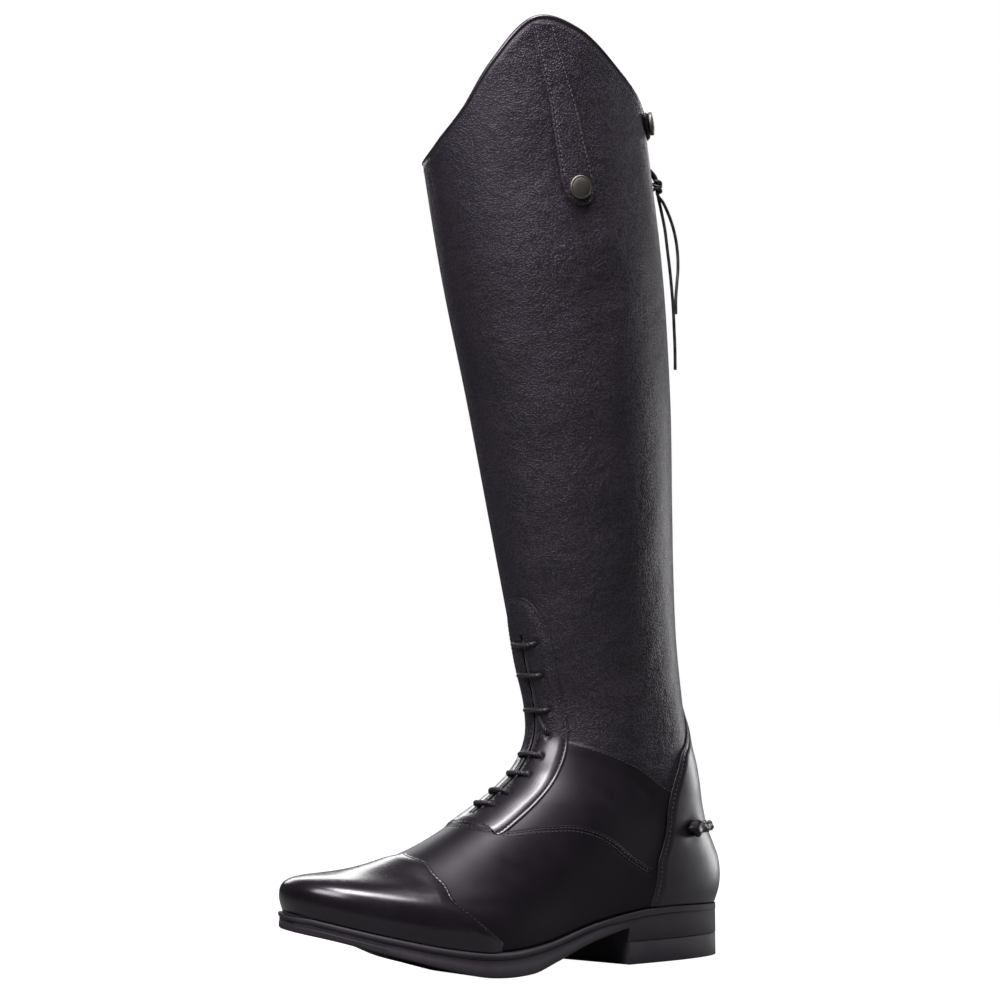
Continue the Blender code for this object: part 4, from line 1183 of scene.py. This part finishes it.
def tab_skin(share, rise):
    turn = TAB_TURNS[0] + (TAB_TURNS[1] - TAB_TURNS[0]) * (0.5 - 0.5 * np.cos(share * np.pi))
    from_middle = np.abs(2 * (turn - TAB_TURNS[0]) / (TAB_TURNS[1] - TAB_TURNS[0]) - 1)
    ends = np.sqrt(np.clip(1 - from_middle**9, 0.02, 1))
    side = np.sin((rise - 0.5) * np.pi)
    height = collar_height(turn) - TAB_DROP + side * TAB_HALF * ends
    away = TAB_HALF * ends * (1 - np.abs(side))
    return skin_out(row_at_height(height), turn, TAB_OUT + sewn_edge(away, TAB_ROUND, (TAB_SEAM,)))


build, _ = laid_grid(*TAB_GRID, tab_skin)
tab = wall(piece("tab", build, cowhide), TAB_THICK)
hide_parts("snap_tab")
tab_turns = np.linspace(TAB_TURNS[0] + 2, TAB_TURNS[1] - 3, TAB_POINTS)
tab_middle = collar_height(tab_turns) - TAB_DROP
tab_out = np.full(TAB_POINTS, TAB_OUT + STITCH_PROUD)
sewn("tab_stitching", *[
    (row_at_height(tab_middle + way * (TAB_HALF - TAB_SEAM)), tab_turns, tab_out) for way in (1, -1)
])

# Snap studs: pressed brass caps with an antique gunmetal plating, a narrow rim round a plain low
# dome. The plating is mottled, brighter where it is rubbed and dark where it is not.
GARTER_STUD_HEIGHT = 423.0
GARTER_STUD_TURN = 106.5
STUD_SEAT = 0.1
GRIME_SIZE = 1.4
STUD_PROFILE = (
    (0.0, 2.55), (1.8, 2.5), (3.4, 2.35), (4.6, 2.12), (5.0, 1.96), (5.25, 1.84), (5.5, 1.86), (5.75, 1.96),
    (6.05, 1.9), (6.35, 1.6), (6.5, 1.1), (6.5, 0.4), (6.3, 0.0), (0.0, 0.0),
)
gunmetal, tree, shader, coords = finish_of("antique_gunmetal", {"Metallic": 1.0})
grime = add(tree, "ShaderNodeTexNoise", {}, {
    "Vector": coords.outputs["Object"], "Scale": 1 / (GRIME_SIZE * MM), "Detail": 4.0, "Roughness": 0.7,
})
tone = add(tree, "ShaderNodeMix", {"data_type": "RGBA"}, {
    "Factor": grime.outputs["Fac"], 6: colour("#4a4643"), 7: colour("#88827d"),
})
tree.links.new(tone.outputs[2], shader.inputs["Base Color"])
gloss = add(tree, "ShaderNodeMapRange", {}, {
    "Value": grime.outputs["Fac"], "From Min": 0.3, "From Max": 0.7, "To Min": 0.62, "To Max": 0.42,
})
tree.links.new(gloss.outputs["Result"], shader.inputs["Roughness"])
pitted = add(tree, "ShaderNodeBump", {}, {
    "Strength": 0.6, "Distance": 0.2 * MM, "Height": grime.outputs["Fac"],
})
tree.links.new(pitted.outputs["Normal"], shader.inputs["Normal"])


def stud(name, node, height, turn, out):
    number = row_at_height(height)
    build = bmesh.new()
    line = [build.verts.new((r * MM, 0, h * MM)) for r, h in STUD_PROFILE]
    edges = [build.edges.new(pair) for pair in zip(line, line[1:])]
    bmesh.ops.spin(
        build, geom=line + edges, cent=(0, 0, 0), axis=(0, 0, 1), angle=2 * math.pi, steps=48, use_merge=True,
    )
    bmesh.ops.remove_doubles(build, verts=build.verts, dist=0.000005)
    bmesh.ops.recalc_face_normals(build, faces=build.faces)
    facing = Vector((0, 0, 1)).rotation_difference(Vector(lie(number, turn)[2])).to_matrix().to_4x4()
    build.transform(Matrix.Translation(place(skin_out(number, turn, out))) @ facing)
    made = piece(name, build, gunmetal)
    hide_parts(node)


stud("garter_stud", "strap_stud", GARTER_STUD_HEIGHT, GARTER_STUD_TURN, STRAP_OUT + STUD_SEAT)
tab_stud_height = collar_height(TAB_STUD_TURN) - TAB_DROP
stud("zip_tab_stud", "tab_stud", tab_stud_height, TAB_STUD_TURN, TAB_OUT + STUD_SEAT)

# Zip: a nylon coil zip sewn behind the slot down the back, closed to the top. Two woven tapes show
# beside the coil, and its loops are 1.5 mm apart.
ZIP_ROWS = (10.76, row_at_height(463.0))
ZIP_LONG = 305.0
ZIP_SEAM = 2.6
ZIP_SEWN = (10.9, row_at_height(465.0))
ZIP_POINTS = 300
TAPE_SUNK = 1.2
TAPE_THICK = 0.8
TAPE_GRID = (24, 200)
COIL_PITCH = 1.5
COIL_LOOP = (0.34, 1.25, 0.6)
COIL_LEAN = 14
COIL_ASIDE = 0.5
COIL_SUNK = 0.75
COIL_POINTS = 400
# Zip tape is a dull twill with slanting ribs. The wave repeats every 1.26 steps, so the ribs are drawn
# about 0.7 mm apart, as coarse as they need to be to show.
TWILL_STEP = 0.8
tape, tree, shader, coords = finish_of("woven_zip_tape", {"Roughness": 0.8, "Sheen Weight": 0.2})
scaled = add(tree, "ShaderNodeMapping", {}, {
    "Vector": coords.outputs["UV"], "Scale": (2 * ZIP_HALF / TWILL_STEP, ZIP_LONG / TWILL_STEP, 1.0),
})
twill = add(tree, "ShaderNodeTexWave", {"bands_direction": "DIAGONAL"}, {
    "Vector": scaled.outputs["Vector"], "Scale": 0.5,
})
tone = add(tree, "ShaderNodeMix", {"data_type": "RGBA"}, {
    "Factor": twill.outputs["Fac"], 6: colour("#141315"), 7: colour("#2c2a2e"),
})
tree.links.new(tone.outputs[2], shader.inputs["Base Color"])
rough = add(tree, "ShaderNodeBump", {}, {
    "Strength": 0.5, "Distance": 0.2 * MM, "Height": twill.outputs["Fac"],
})
tree.links.new(rough.outputs["Normal"], shader.inputs["Normal"])


def tape_skin(share, rise):
    number = ZIP_ROWS[0] + (ZIP_ROWS[1] - ZIP_ROWS[0]) * rise
    reach = (ZIP_HALF + 0.5) * (2 * share - 1)
    ridges = 0.15 * bump_at(np.abs(reach), 2.0, 0.8)
    return skin_out(number, turn_from_back(number, reach), -TAPE_SUNK + ridges)


build, _ = laid_grid(*TAPE_GRID, tape_skin)
zip_tape = wall(piece("zip_tape", build, tape), TAPE_THICK)
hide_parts("zip")
# Nylon coil is a smooth drawn thread, dyed through, with a low even gloss. Its tone drifts over 4 mm.
DYE_DRIFT = 4.0
nylon, tree, shader, coords = finish_of("nylon_coil", {"Roughness": 0.35})
fleck = add(tree, "ShaderNodeTexNoise", {}, {
    "Vector": coords.outputs["Object"], "Scale": 1 / (DYE_DRIFT * MM),
})
tone = add(tree, "ShaderNodeMix", {"data_type": "RGBA"}, {
    "Factor": fleck.outputs["Fac"], 6: colour("#161517"), 7: colour("#262528"),
})
tree.links.new(tone.outputs[2], shader.inputs["Base Color"])
coil_form = small_ball(8, 5)
build = bmesh.new()
coil_rows = np.linspace(*ZIP_ROWS, COIL_POINTS)
coil_line = skin_out(coil_rows, np.zeros(COIL_POINTS), np.full(COIL_POINTS, -COIL_SUNK))
coil_run = np.concatenate([[0.0], np.cumsum(np.linalg.norm(np.diff(coil_line, axis=0), axis=1))])
for k, stop in enumerate(np.arange(1.0, coil_run[-1] - 1.0, COIL_PITCH / 2)):
    at = Vector([np.interp(stop, coil_run, coil_line[:, i]) for i in range(3)])
    ahead = Vector([np.interp(stop + 0.5, coil_run, coil_line[:, i]) for i in range(3)]) - at
    tilt = Vector((1, 0, 0)).rotation_difference(ahead.normalized()).to_matrix().to_4x4()
    way = 1 if k % 2 else -1
    lean = Matrix.Rotation(math.radians(way * COIL_LEAN), 4, "X")
    shift_side = Matrix.Translation((0, way * COIL_ASIDE * MM, 0))
    size = Matrix.Diagonal((*(s * MM for s in COIL_LOOP), 1.0))
    add_copy(build, coil_form, Matrix.Translation(place(at)) @ tilt @ shift_side @ lean @ size)
coil = piece("zip_coil", build, nylon)
slot_rows = np.linspace(*ZIP_SEWN, ZIP_POINTS)
sewn("zip_stitching", *[
    (slot_rows, turn_from_back(slot_rows, way * (ZIP_HALF + ZIP_SEAM)), np.zeros(ZIP_POINTS))
    for way in (1, -1)
])

# Zip slider: a small die-cast body astride the coil, with a bridge on top that the pull cord is tied
# through. It has the same antique plating as the studs.
SLIDER_Z = 447.5
slider_seat = skin(row_at_height(SLIDER_Z), 0.0)
SliderPart = namedtuple("SliderPart", "long wide high at_x at_z round")
SLIDER_PARTS = (SliderPart(1.3, 6.4, 8.8, -1.2, 0.0, 0.5), SliderPart(1.6, 2.0, 6.0, -3.0, 0.0, 0.55))
build = bmesh.new()
for part in SLIDER_PARTS:
    made = bmesh.ops.create_cube(build, size=1.0)["verts"]
    bmesh.ops.scale(build, vec=(part.long * MM, part.wide * MM, part.high * MM), verts=made)
    bmesh.ops.translate(build, vec=place(slider_seat + (part.at_x, 0, part.at_z)), verts=made)
    edges = list({e for v in made for e in v.link_edges})
    bmesh.ops.bevel(
        build, geom=edges, offset=part.round * MM, segments=3, affect="EDGES", profile=0.5, material=-1,
    )
slider = piece("slider", build, gunmetal)
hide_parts("zip_slider")

# Pull cord: a thin waxed cord doubled through the slider's bridge, knotted under it, with its two
# ends hanging free down the back. One end hangs almost straight and the other bows out.
CORD_R = 0.9
CORD_ASIDE = 0.95
CORD_POINTS = 90
KNOT_R = 2.15
KNOT_TOP = 2.6
KNOT_HIGH = 5.4
KNOT_TURNS = 2.6
KNOT_POINTS = 90
KNOT_AT = (31.6, 7.2, 432.6)
LOOP = ((42.7, 0.5, 447.1), (39.2, 2.6, 445.6), (35.6, 4.9, 441.8), (32.5, 6.7, 436.9))
STRAND_LONG = (
    (30.5, 6.6, 427.9), (29.0, 7.2, 420.0), (27.5, 8.6, 409.0), (27.1, 10.0, 397.6), (26.7, 11.4, 386.0),
    (26.7, 12.8, 374.8), (27.0, 14.2, 363.0), (27.8, 15.6, 352.0), (28.5, 16.8, 340.6), (29.6, 18.0, 328.6),
)
STRAND_BOWED = (
    (32.2, 8.2, 427.9), (29.0, 9.2, 423.5), (26.2, 9.9, 418.0), (23.6, 10.7, 411.0), (21.9, 11.5, 403.0),
    (21.5, 12.4, 395.0), (22.6, 13.8, 386.0), (25.2, 15.6, 377.5), (27.6, 17.2, 369.0), (29.0, 18.6, 360.0),
)
# Waxed cord is dull, with a tone that changes along its twist. The wave repeats every 0.63 of a step, so
# its bands are drawn about 6.5 mm apart down the cord, coarser than the real twist so that they show.
TWIST_STEP = 10.2857
waxed, tree, shader, coords = finish_of("waxed_cord", {"Roughness": 0.5, "Sheen Weight": 0.1})
strand = add(tree, "ShaderNodeTexWave", {"bands_direction": "DIAGONAL"}, {
    "Vector": coords.outputs["Object"], "Scale": 1 / (TWIST_STEP * MM), "Distortion": 0.5,
})
tone = add(tree, "ShaderNodeMix", {"data_type": "RGBA"}, {
    "Factor": strand.outputs["Fac"], 6: colour("#151416"), 7: colour("#302e32"),
})
tree.links.new(tone.outputs[2], shader.inputs["Base Color"])
ridge = add(tree, "ShaderNodeBump", {}, {
    "Strength": 0.5, "Distance": 0.2 * MM, "Height": strand.outputs["Fac"],
})
tree.links.new(ridge.outputs["Normal"], shader.inputs["Normal"])


def eased(route, count):
    """Points at even spacing on a smooth curve through a listed route."""
    route = np.array(route, float)
    run = np.concatenate([[0.0], np.cumsum(np.linalg.norm(np.diff(route, axis=0), axis=1))])
    return hermite(run, route, np.linspace(0, run[-1], count))


def hung_cord(name, route, aside, *nodes):
    """One end of the pull cord, from the slider through the knot and down."""
    loop = [tuple(np.array(p) + (0, aside, 0)) for p in LOOP]
    points = eased(loop + [KNOT_AT] + list(route), CORD_POINTS)
    curve = bpy.data.curves.new(name, "CURVE")
    curve.dimensions = "3D"
    curve.bevel_depth = CORD_R * MM
    curve.bevel_resolution = 3
    curve.use_fill_caps = True
    line = curve.splines.new("POLY")
    line.points.add(len(points) - 1)
    for point, at in zip(line.points, place(points)):
        point.co = (*at, 1.0)
    curve.materials.append(waxed)
    obj = bpy.data.objects.new(name, curve)
    bpy.context.scene.collection.objects.link(obj)
    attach(obj, "root")
    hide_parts(*nodes)
    return obj, place(points)


long_end, long_line = hung_cord("pull_long_end", STRAND_LONG, -CORD_ASIDE, "pull_loop", "pull_strand_long")
bowed_end, bowed_line = hung_cord("pull_bowed_end", STRAND_BOWED, CORD_ASIDE, "pull_strand_bowed")
knot_turn = np.linspace(0, 1, KNOT_POINTS)
knot_angle = knot_turn * 2 * np.pi * KNOT_TURNS
knot_line = np.array(KNOT_AT) + np.stack([
    KNOT_R * np.cos(knot_angle), KNOT_R * np.sin(knot_angle),
    KNOT_TOP - KNOT_HIGH * knot_turn + 0.5 * np.sin(knot_angle * 1.5),
], -1)
knot_up = np.tile((0.0, 0.0, 1.0), (KNOT_POINTS, 1))
knot = piece("pull_knot_wrap", tube_along(knot_line, knot_up, CORD_R + 0.1, 10), waxed)
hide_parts("pull_knot")

# Insole: a leather board with a thin sock on top, cut to the feather line and dished for the foot.
# It closes the bottom of the upper and shows only from above.
INSOLE_THICK = 3.0
INSOLE_LIFT = 0.2
INSOLE_INSET = 3.0
SECTION_TURNS = np.concatenate([[0.0], np.linspace(1.2, 178.8, 120), [180.0]])


def grown(ring, by, back=None):
    """A ring made wider all round."""
    back = by if back is None else back
    return ring._replace(
        back_x=ring.back_x - back, front_x=ring.front_x + by, back_r=ring.back_r + by,
        heel_w=ring.heel_w + by, waist_w=ring.waist_w + by, ball_w=ring.ball_w + by,
        front_r=ring.front_r + by,
    )


Rim = namedtuple("Rim", "share out level lift")
SMALL_STEP = 0.7


def plate(ring, turns, rims, low, high, cut=None, stepped=None, bevel=None):
    """A layer of the sole lofted along its length: rims run from the bottom's middle round to the top's.
    A cut goes up into the bottom, and stops short of its edge. Small steps can fade along the side, and
    a bevel lifts the bottom towards its inner edge."""
    around = [(1, rim) for rim in rims] + [(-1, rim) for rim in rims[::-1]]
    around.append(around[0])
    row = np.broadcast_to(np.array(ring_row(ring)), (len(turns), 10))
    x, half, _ = oval(row, turns)
    swing = smooth(SWING, x)
    ahead = oval(row, np.clip(turns + 0.4, 0, 180))
    behind = oval(row, np.clip(turns - 0.4, 0, 180))
    run = np.stack([ahead[0] - behind[0], ahead[1] - behind[1]], -1)
    run /= np.linalg.norm(run, axis=1, keepdims=True)
    out_x, out_y = -run[:, 1], run[:, 0]
    bottom, top = low(x), high(x)
    depth = np.zeros(len(x)) if cut is None else cut(x)
    step = np.ones(len(x)) if stepped is None else stepped(x)
    slant = np.zeros(len(x)) if bevel is None else bevel(x)

    def where(share, rise):
        i = np.rint(share * (len(turns) - 1)).astype(int)
        k = np.rint(rise * (len(around) - 1)).astype(int)
        side = np.array([a[0] for a in around])[k]
        shares, out, level, lift = (np.array([a[1][n] for a in around])[k] for n in range(4))
        out = np.where(out > -SMALL_STEP, out * step[i], out)
        px = x[i] + out_x[i] * out
        py = swing[i] + side * (half[i] * shares + out_y[i] * out)
        pz = bottom[i] + level * (top[i] - bottom[i]) + lift
        pz += depth[i] * ((level == 0) & (shares < 1)) + slant[i] * shares * ((level == 0) & (side < 0))
        return np.stack([px, py, pz], -1)

    build, _ = laid_grid(len(turns) - 1, len(around) - 1, where)
    bmesh.ops.remove_doubles(build, verts=build.verts, dist=0.00001)
    open_edges = [e for e in build.edges if e.is_boundary]
    if open_edges:
        bmesh.ops.holes_fill(build, edges=open_edges, sides=0)
    bmesh.ops.recalc_face_normals(build, faces=build.faces)
    return build


def sharpened(obj, angle):
    obj.data.set_sharp_from_angle(angle=math.radians(angle))
    return obj


# Insole sock is undyed brown leather with a short nap, so it is dull and faintly mottled.
NAP_SIZE = 1.5
sock, tree, shader, coords = finish_of("insole_sock", {"Roughness": 0.8, "Sheen Weight": 0.1})
nap = add(tree, "ShaderNodeTexNoise", {}, {
    "Vector": coords.outputs["Object"], "Scale": 1 / (NAP_SIZE * MM), "Detail": 4.0, "Roughness": 0.7,
})
tone = add(tree, "ShaderNodeMix", {"data_type": "RGBA"}, {
    "Factor": nap.outputs["Fac"], 6: colour("#4a3d30"), 7: colour("#6a5846"),
})
tree.links.new(tone.outputs[2], shader.inputs["Base Color"])
rough = add(tree, "ShaderNodeBump", {}, {
    "Strength": 0.4, "Distance": 0.2 * MM, "Height": nap.outputs["Fac"],
})
tree.links.new(rough.outputs["Normal"], shader.inputs["Normal"])
INSOLE_RIMS = (
    Rim(0.0, 0, 0, 0), Rim(0.6, 0, 0, 0), Rim(1.0, -0.5, 0, 0), Rim(1.0, 0, 0, 0.5), Rim(1.0, 0, 1, -0.6),
    Rim(1.0, -0.5, 1, 0), Rim(0.85, 0, 1, -0.1), Rim(0.5, 0, 1, -0.5), Rim(0.0, 0, 1, -0.6),
)
build = plate(
    grown(FOOT_RINGS[0], -INSOLE_INSET), SECTION_TURNS, INSOLE_RIMS,
    lambda x: smooth(SOLE_TOP, x) + INSOLE_LIFT,
    lambda x: smooth(SOLE_TOP, x) + INSOLE_LIFT + INSOLE_THICK,
)
footbed = sharpened(piece("footbed", build, sock), 50)
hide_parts("insole")

# Welt: the top layer of the moulded rubber unit, which stands out round the foot as a narrow ledge.
# A fine groove runs along the ledge, and a bead along its edge.
WELT_THICK = 3.2
SOLE_GAP = 0.75
SOLE_RING = grown(FOOT_RINGS[0], 4.2, back=3.2)._replace(heel_w=32.0, back_r=31.5, waist_w=34.5)
WELT_RIMS = (
    Rim(0.0, 0, 0, 0), Rim(0.6, 0, 0, 0), Rim(1.0, -1.3, 0, 0), Rim(1.0, -0.55, 0, 0.05),
    Rim(1.0, -0.5, 0, 0.5), Rim(1.0, -0.15, 0, 0.75), Rim(1.0, 0.05, 0, 1.3), Rim(1.0, 0.05, 1, -0.9),
    Rim(1.0, -0.1, 1, -0.35), Rim(1.0, -0.45, 1, -0.05), Rim(1.0, -0.9, 1, 0), Rim(1.0, -1.25, 1, -0.15),
    Rim(1.0, -1.5, 1, -0.5), Rim(1.0, -1.85, 1, -0.4), Rim(1.0, -2.1, 1, 0.1), Rim(1.0, -2.5, 1, 0.5),
    Rim(0.8, 0, 1, 0.6), Rim(0.0, 0, 1, 0.6),
)


def past_heel(x):
    """The side of the sole is plain over the heel and stepped from the waist on."""
    return ease(x, 84.0, 130.0)


# Moulded rubber is dull and very slightly grained by its mould, with a grey bloom in patches of about
# 14 mm. The grit is drawn 0.9 mm wide, as coarse as it needs to be to show.
BLOOM_SIZE = 14.0
GRIT_SIZE = 0.9
rubber, tree, shader, coords = finish_of("moulded_rubber", {"IOR": 1.5, "Specular IOR Level": 0.3})
bloom = add(tree, "ShaderNodeTexNoise", {}, {
    "Vector": coords.outputs["Object"], "Scale": 1 / (BLOOM_SIZE * MM), "Detail": 5.0, "Roughness": 0.65,
})
grit = add(tree, "ShaderNodeTexNoise", {}, {
    "Vector": coords.outputs["Object"], "Scale": 1 / (GRIT_SIZE * MM), "Detail": 3.0, "Roughness": 0.7,
})
tone = add(tree, "ShaderNodeMix", {"data_type": "RGBA"}, {
    "Factor": bloom.outputs["Fac"], 6: colour("#2c272e"), 7: colour("#453f47"),
})
tree.links.new(tone.outputs[2], shader.inputs["Base Color"])
gloss = add(tree, "ShaderNodeMapRange", {}, {
    "Value": bloom.outputs["Fac"], "From Min": 0.3, "From Max": 0.7, "To Min": 0.55, "To Max": 0.72,
})
tree.links.new(gloss.outputs["Result"], shader.inputs["Roughness"])
rough = add(tree, "ShaderNodeBump", {}, {
    "Strength": 0.35, "Distance": 0.12 * MM, "Height": grit.outputs["Fac"],
})
tree.links.new(rough.outputs["Normal"], shader.inputs["Normal"])
build = plate(
    SOLE_RING, SECTION_TURNS, WELT_RIMS, lambda x: smooth(SOLE_TOP, x) - SOLE_GAP - WELT_THICK,
    lambda x: smooth(SOLE_TOP, x) - SOLE_GAP, None, past_heel,
)
ledge = sharpened(piece("welt_ledge", build, rubber), 50)
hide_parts("welt")

# Outsole: the moulded rubber sole with its arch and toe spring. Shallow grooves cross the tread from
# the waist to the toe, and its side has a shallow step under the welt.
SOLE_BOTTOM = (
    (87, 20.0), (98, 17.4), (110, 14.5), (140, 5.2), (158, 0.6), (166, 0.0), (184, 0.0), (196, 1.0),
    (210, 3.8), (228, 8.0), (245, 12.0), (272, 19.2), (286, 21.8),
)
OUTSOLE_HEEL = 20.0
SOLE_LEAST = 5.6
TREAD_PITCH = 11.0
TREAD_WIDE = 2.2
TREAD_DEEP = 1.2
TREAD_SLOPE = 0.4
WORN = 3.2
LAYER_LINE = 0.1
OUTSOLE_RING = grown(SOLE_RING, -0.2)
OUTSOLE_RIMS = (
    Rim(0.0, 0, 0, 0), Rim(0.6, 0, 0, 0), Rim(0.92, 0, 0, 0), Rim(1.0, -1.0, 0, 0), Rim(1.0, -0.4, 0, 0.1),
    Rim(1.0, -0.1, 0, 0.4), Rim(1.0, 0.0, 0, 0.9), Rim(1.0, 0.0, 0.6, 0), Rim(1.0, -0.3, 0.66, 0),
    Rim(1.0, -0.3, 1, -0.2), Rim(1.0, -0.6, 1, 0), Rim(0.6, 0, 1, 0), Rim(0.0, 0, 1, 0),
)


def turn_at(ring, x):
    """Direction at which a ring reaches a distance from the heel."""
    return np.degrees(np.arccos(1 - 2 * (np.asarray(x) - ring.back_x) / (ring.front_x - ring.back_x)))


def tread_lines(first, last):
    """The four lines of each groove across the sole, and the grooves' middles."""
    middles = np.arange(first, last, TREAD_PITCH)
    half = TREAD_WIDE / 2
    return (middles[:, None] + (-half - TREAD_SLOPE, -half, half, half + TREAD_SLOPE)).ravel(), middles


def groove(x, middles):
    away = np.abs(np.asarray(x)[:, None] - middles).min(1)
    return TREAD_DEEP * np.clip((TREAD_WIDE / 2 + TREAD_SLOPE - away) / TREAD_SLOPE, 0, 1)


fore_lines, fore_middles = tread_lines(124.0, 240.0)


def worn(x):
    """The tread lifts towards the inner edge beside the ball of the foot."""
    return WORN * ease(x, 164.0, 188.0) * (1 - ease(x, 225.0, 252.0))


def outsole_bottom(x):
    fore = np.minimum(smooth(SOLE_BOTTOM, x), smooth(SOLE_TOP, x) - SOLE_LEAST)
    return np.where(x < SOLE_BOTTOM[0][0], OUTSOLE_HEEL, fore)


fore_turns = turn_at(OUTSOLE_RING, fore_lines)
plain = [t for t in SECTION_TURNS if np.abs(fore_turns - t).min() > 0.5]
build = plate(
    OUTSOLE_RING, np.sort(np.concatenate([plain, fore_turns])), OUTSOLE_RIMS, outsole_bottom,
    lambda x: smooth(SOLE_TOP, x) - SOLE_GAP - WELT_THICK - LAYER_LINE, lambda x: groove(x, fore_middles),
    past_heel, worn,
)
sole = sharpened(piece("sole", build, rubber), 40)
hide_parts("outsole")

# Heel: a stacked block of rubber with a hard top piece under it. A fine line parts the two, the breast
# in front is straight, and grooves cross the tread.
HEEL_LENGTH = 84.5
HEEL_SUNK = 1.1
TOP_PIECE = 12.5
TOP_LINE = 0.15
HEEL_RIMS = (
    Rim(0.0, 0, 0, 0), Rim(0.6, 0, 0, 0), Rim(0.92, 0, 0, 0), Rim(1.0, -0.5, 0, 0),
    Rim(1.0, -0.12, 0, 0.12), Rim(1.0, 0, 0, 0.5), Rim(1.0, 0, 1, -0.35), Rim(1.0, -0.1, 1, -0.1),
    Rim(1.0, -0.35, 1, 0), Rim(0.6, 0, 1, 0), Rim(0.0, 0, 1, 0),
)
BLOCK_RIMS = HEEL_RIMS[:6] + (Rim(1.0, 0, 1, 0), Rim(0.6, 0, 1, 0), Rim(0.0, 0, 1, 0))
HEEL_RING = grown(OUTSOLE_RING, 0.02)
TOP_RING = grown(HEEL_RING, -0.15)
heel_turns = np.concatenate([[0.0], np.linspace(1.2, turn_at(HEEL_RING, HEEL_LENGTH), 60)])
build = plate(
    HEEL_RING, heel_turns, BLOCK_RIMS, lambda x: np.full(len(x), TOP_PIECE + TOP_LINE),
    lambda x: np.full(len(x), OUTSOLE_HEEL + HEEL_SUNK),
)
block = sharpened(piece("heel_stack", build, rubber), 40)
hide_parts("heel_block")
heel_lines, heel_middles = tread_lines(18.0, 78.0)
line_turns = turn_at(TOP_RING, heel_lines)
heel_turns = np.concatenate([[0.0], np.linspace(1.2, turn_at(TOP_RING, HEEL_LENGTH), 60)])
plain = [t for t in heel_turns if np.abs(line_turns - t).min() > 0.5]
build = plate(
    TOP_RING, np.sort(np.concatenate([plain, line_turns])), HEEL_RIMS, lambda x: np.zeros(len(x)),
    lambda x: np.full(len(x), TOP_PIECE), lambda x: groove(x, heel_middles),
)
top_piece = sharpened(piece("heel_tread", build, rubber), 40)
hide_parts("heel_top_piece")

# Studio: floor and air are white to the camera and dim to the boot. Of five softboxes, two hang overhead
# and over the instep, one is low behind the heel, one fills the front of the leg, and a wide one is
# behind on the inner side. The camera is low, on the outer side and in front.
build = bmesh.new()
bmesh.ops.create_grid(build, x_segments=2, y_segments=2, size=6.0)
floor_mesh = bpy.data.meshes.new("floor")
build.to_mesh(floor_mesh)
build.free()
floor = bpy.data.objects.new("floor", floor_mesh)
floor.location.z = -0.0003
bpy.context.scene.collection.objects.link(floor)
paper, tree, shader, coords = finish_of("lit_white_table", {"Roughness": 0.9, "Specular IOR Level": 0.1})
shader.inputs["Base Color"].default_value = colour("#707070")
shader.inputs["Emission Color"].default_value = (1.0, 1.0, 1.0, 1.0)
seen = add(tree, "ShaderNodeLightPath", {}, {})
tree.links.new(seen.outputs["Is Camera Ray"], shader.inputs["Emission Strength"])
floor_mesh.materials.append(paper)

AIM = Vector(place((100.0, 0.0, 255.0)))
EYE = Vector(place((1519.68, 1679.50, 193.57)))


def softbox(name, at, aim, wide, high, power):
    lamp = bpy.data.lights.new(name, "AREA")
    lamp.shape = "RECTANGLE"
    lamp.size = wide
    lamp.size_y = high
    lamp.energy = power
    obj = bpy.data.objects.new(name, lamp)
    obj.location = at
    obj.rotation_mode = "QUATERNION"
    obj.rotation_quaternion = (Vector(aim) - Vector(at)).to_track_quat("-Z", "Y")
    obj.visible_camera = False
    bpy.context.scene.collection.objects.link(obj)


softbox("overhead_softbox", (-0.3, 0.46, 1.72), (0.0, 0.0, 0.1), 0.4, 0.45, 9)
softbox("instep_softbox", (0.14, 0.26, 1.4), (0.06, 0.03, 0.1), 0.45, 0.45, 17)
softbox("rear_strip", (-1.45, -0.05, 0.12), (-0.05, 0.0, 0.14), 0.45, 0.42, 5.5)
softbox("front_fill", (0.62, 0.24, 0.88), (0.02, 0.0, 0.48), 0.5, 0.5, 9)
softbox("high_backdrop", (-0.94, -1.25, 0.84), (0.05, 0.0, 0.1), 1.8, 0.42, 12)

world = bpy.data.worlds.new("studio_air")
world.use_nodes = True
bpy.context.scene.world = world
tree = world.node_tree
tree.nodes.clear()
seen = add(tree, "ShaderNodeLightPath", {}, {})
dim = add(tree, "ShaderNodeBackground", {}, {"Color": colour("#e8eaee"), "Strength": 0.06})
white = add(tree, "ShaderNodeBackground", {}, {"Color": (1.0, 1.0, 1.0, 1.0), "Strength": 1.0})
mixed = add(tree, "ShaderNodeMixShader", {}, {
    0: seen.outputs["Is Camera Ray"], 1: dim.outputs[0], 2: white.outputs[0],
})
add(tree, "ShaderNodeOutputWorld", {}, {"Surface": mixed.outputs[0]})
bpy.context.scene.view_settings.view_transform = "Standard"

FOCAL_PX = 3975.7
FRAME_PX = 1000.0
AIM_PX = (560.6, 501.7)
ROLL = -0.796
lens = bpy.data.cameras.new("camera")
lens.sensor_width = 36.0
lens.lens = FOCAL_PX / FRAME_PX * lens.sensor_width
lens.clip_end = 50.0
camera = bpy.data.objects.new("camera", lens)
camera.location = EYE
ahead = (AIM - EYE).normalized()
right = ahead.cross(Vector((0, 0, 1))).normalized()
above = right.cross(ahead)
per_px = (AIM - EYE).length / FOCAL_PX
aim = AIM - right * (AIM_PX[0] - FRAME_PX / 2) * per_px + above * (AIM_PX[1] - FRAME_PX / 2) * per_px
camera.rotation_mode = "QUATERNION"
camera.rotation_quaternion = (aim - EYE).to_track_quat("-Z", "Y") @ Quaternion((0, 0, 1), math.radians(ROLL))
bpy.context.scene.collection.objects.link(camera)
bpy.context.scene.camera = camera
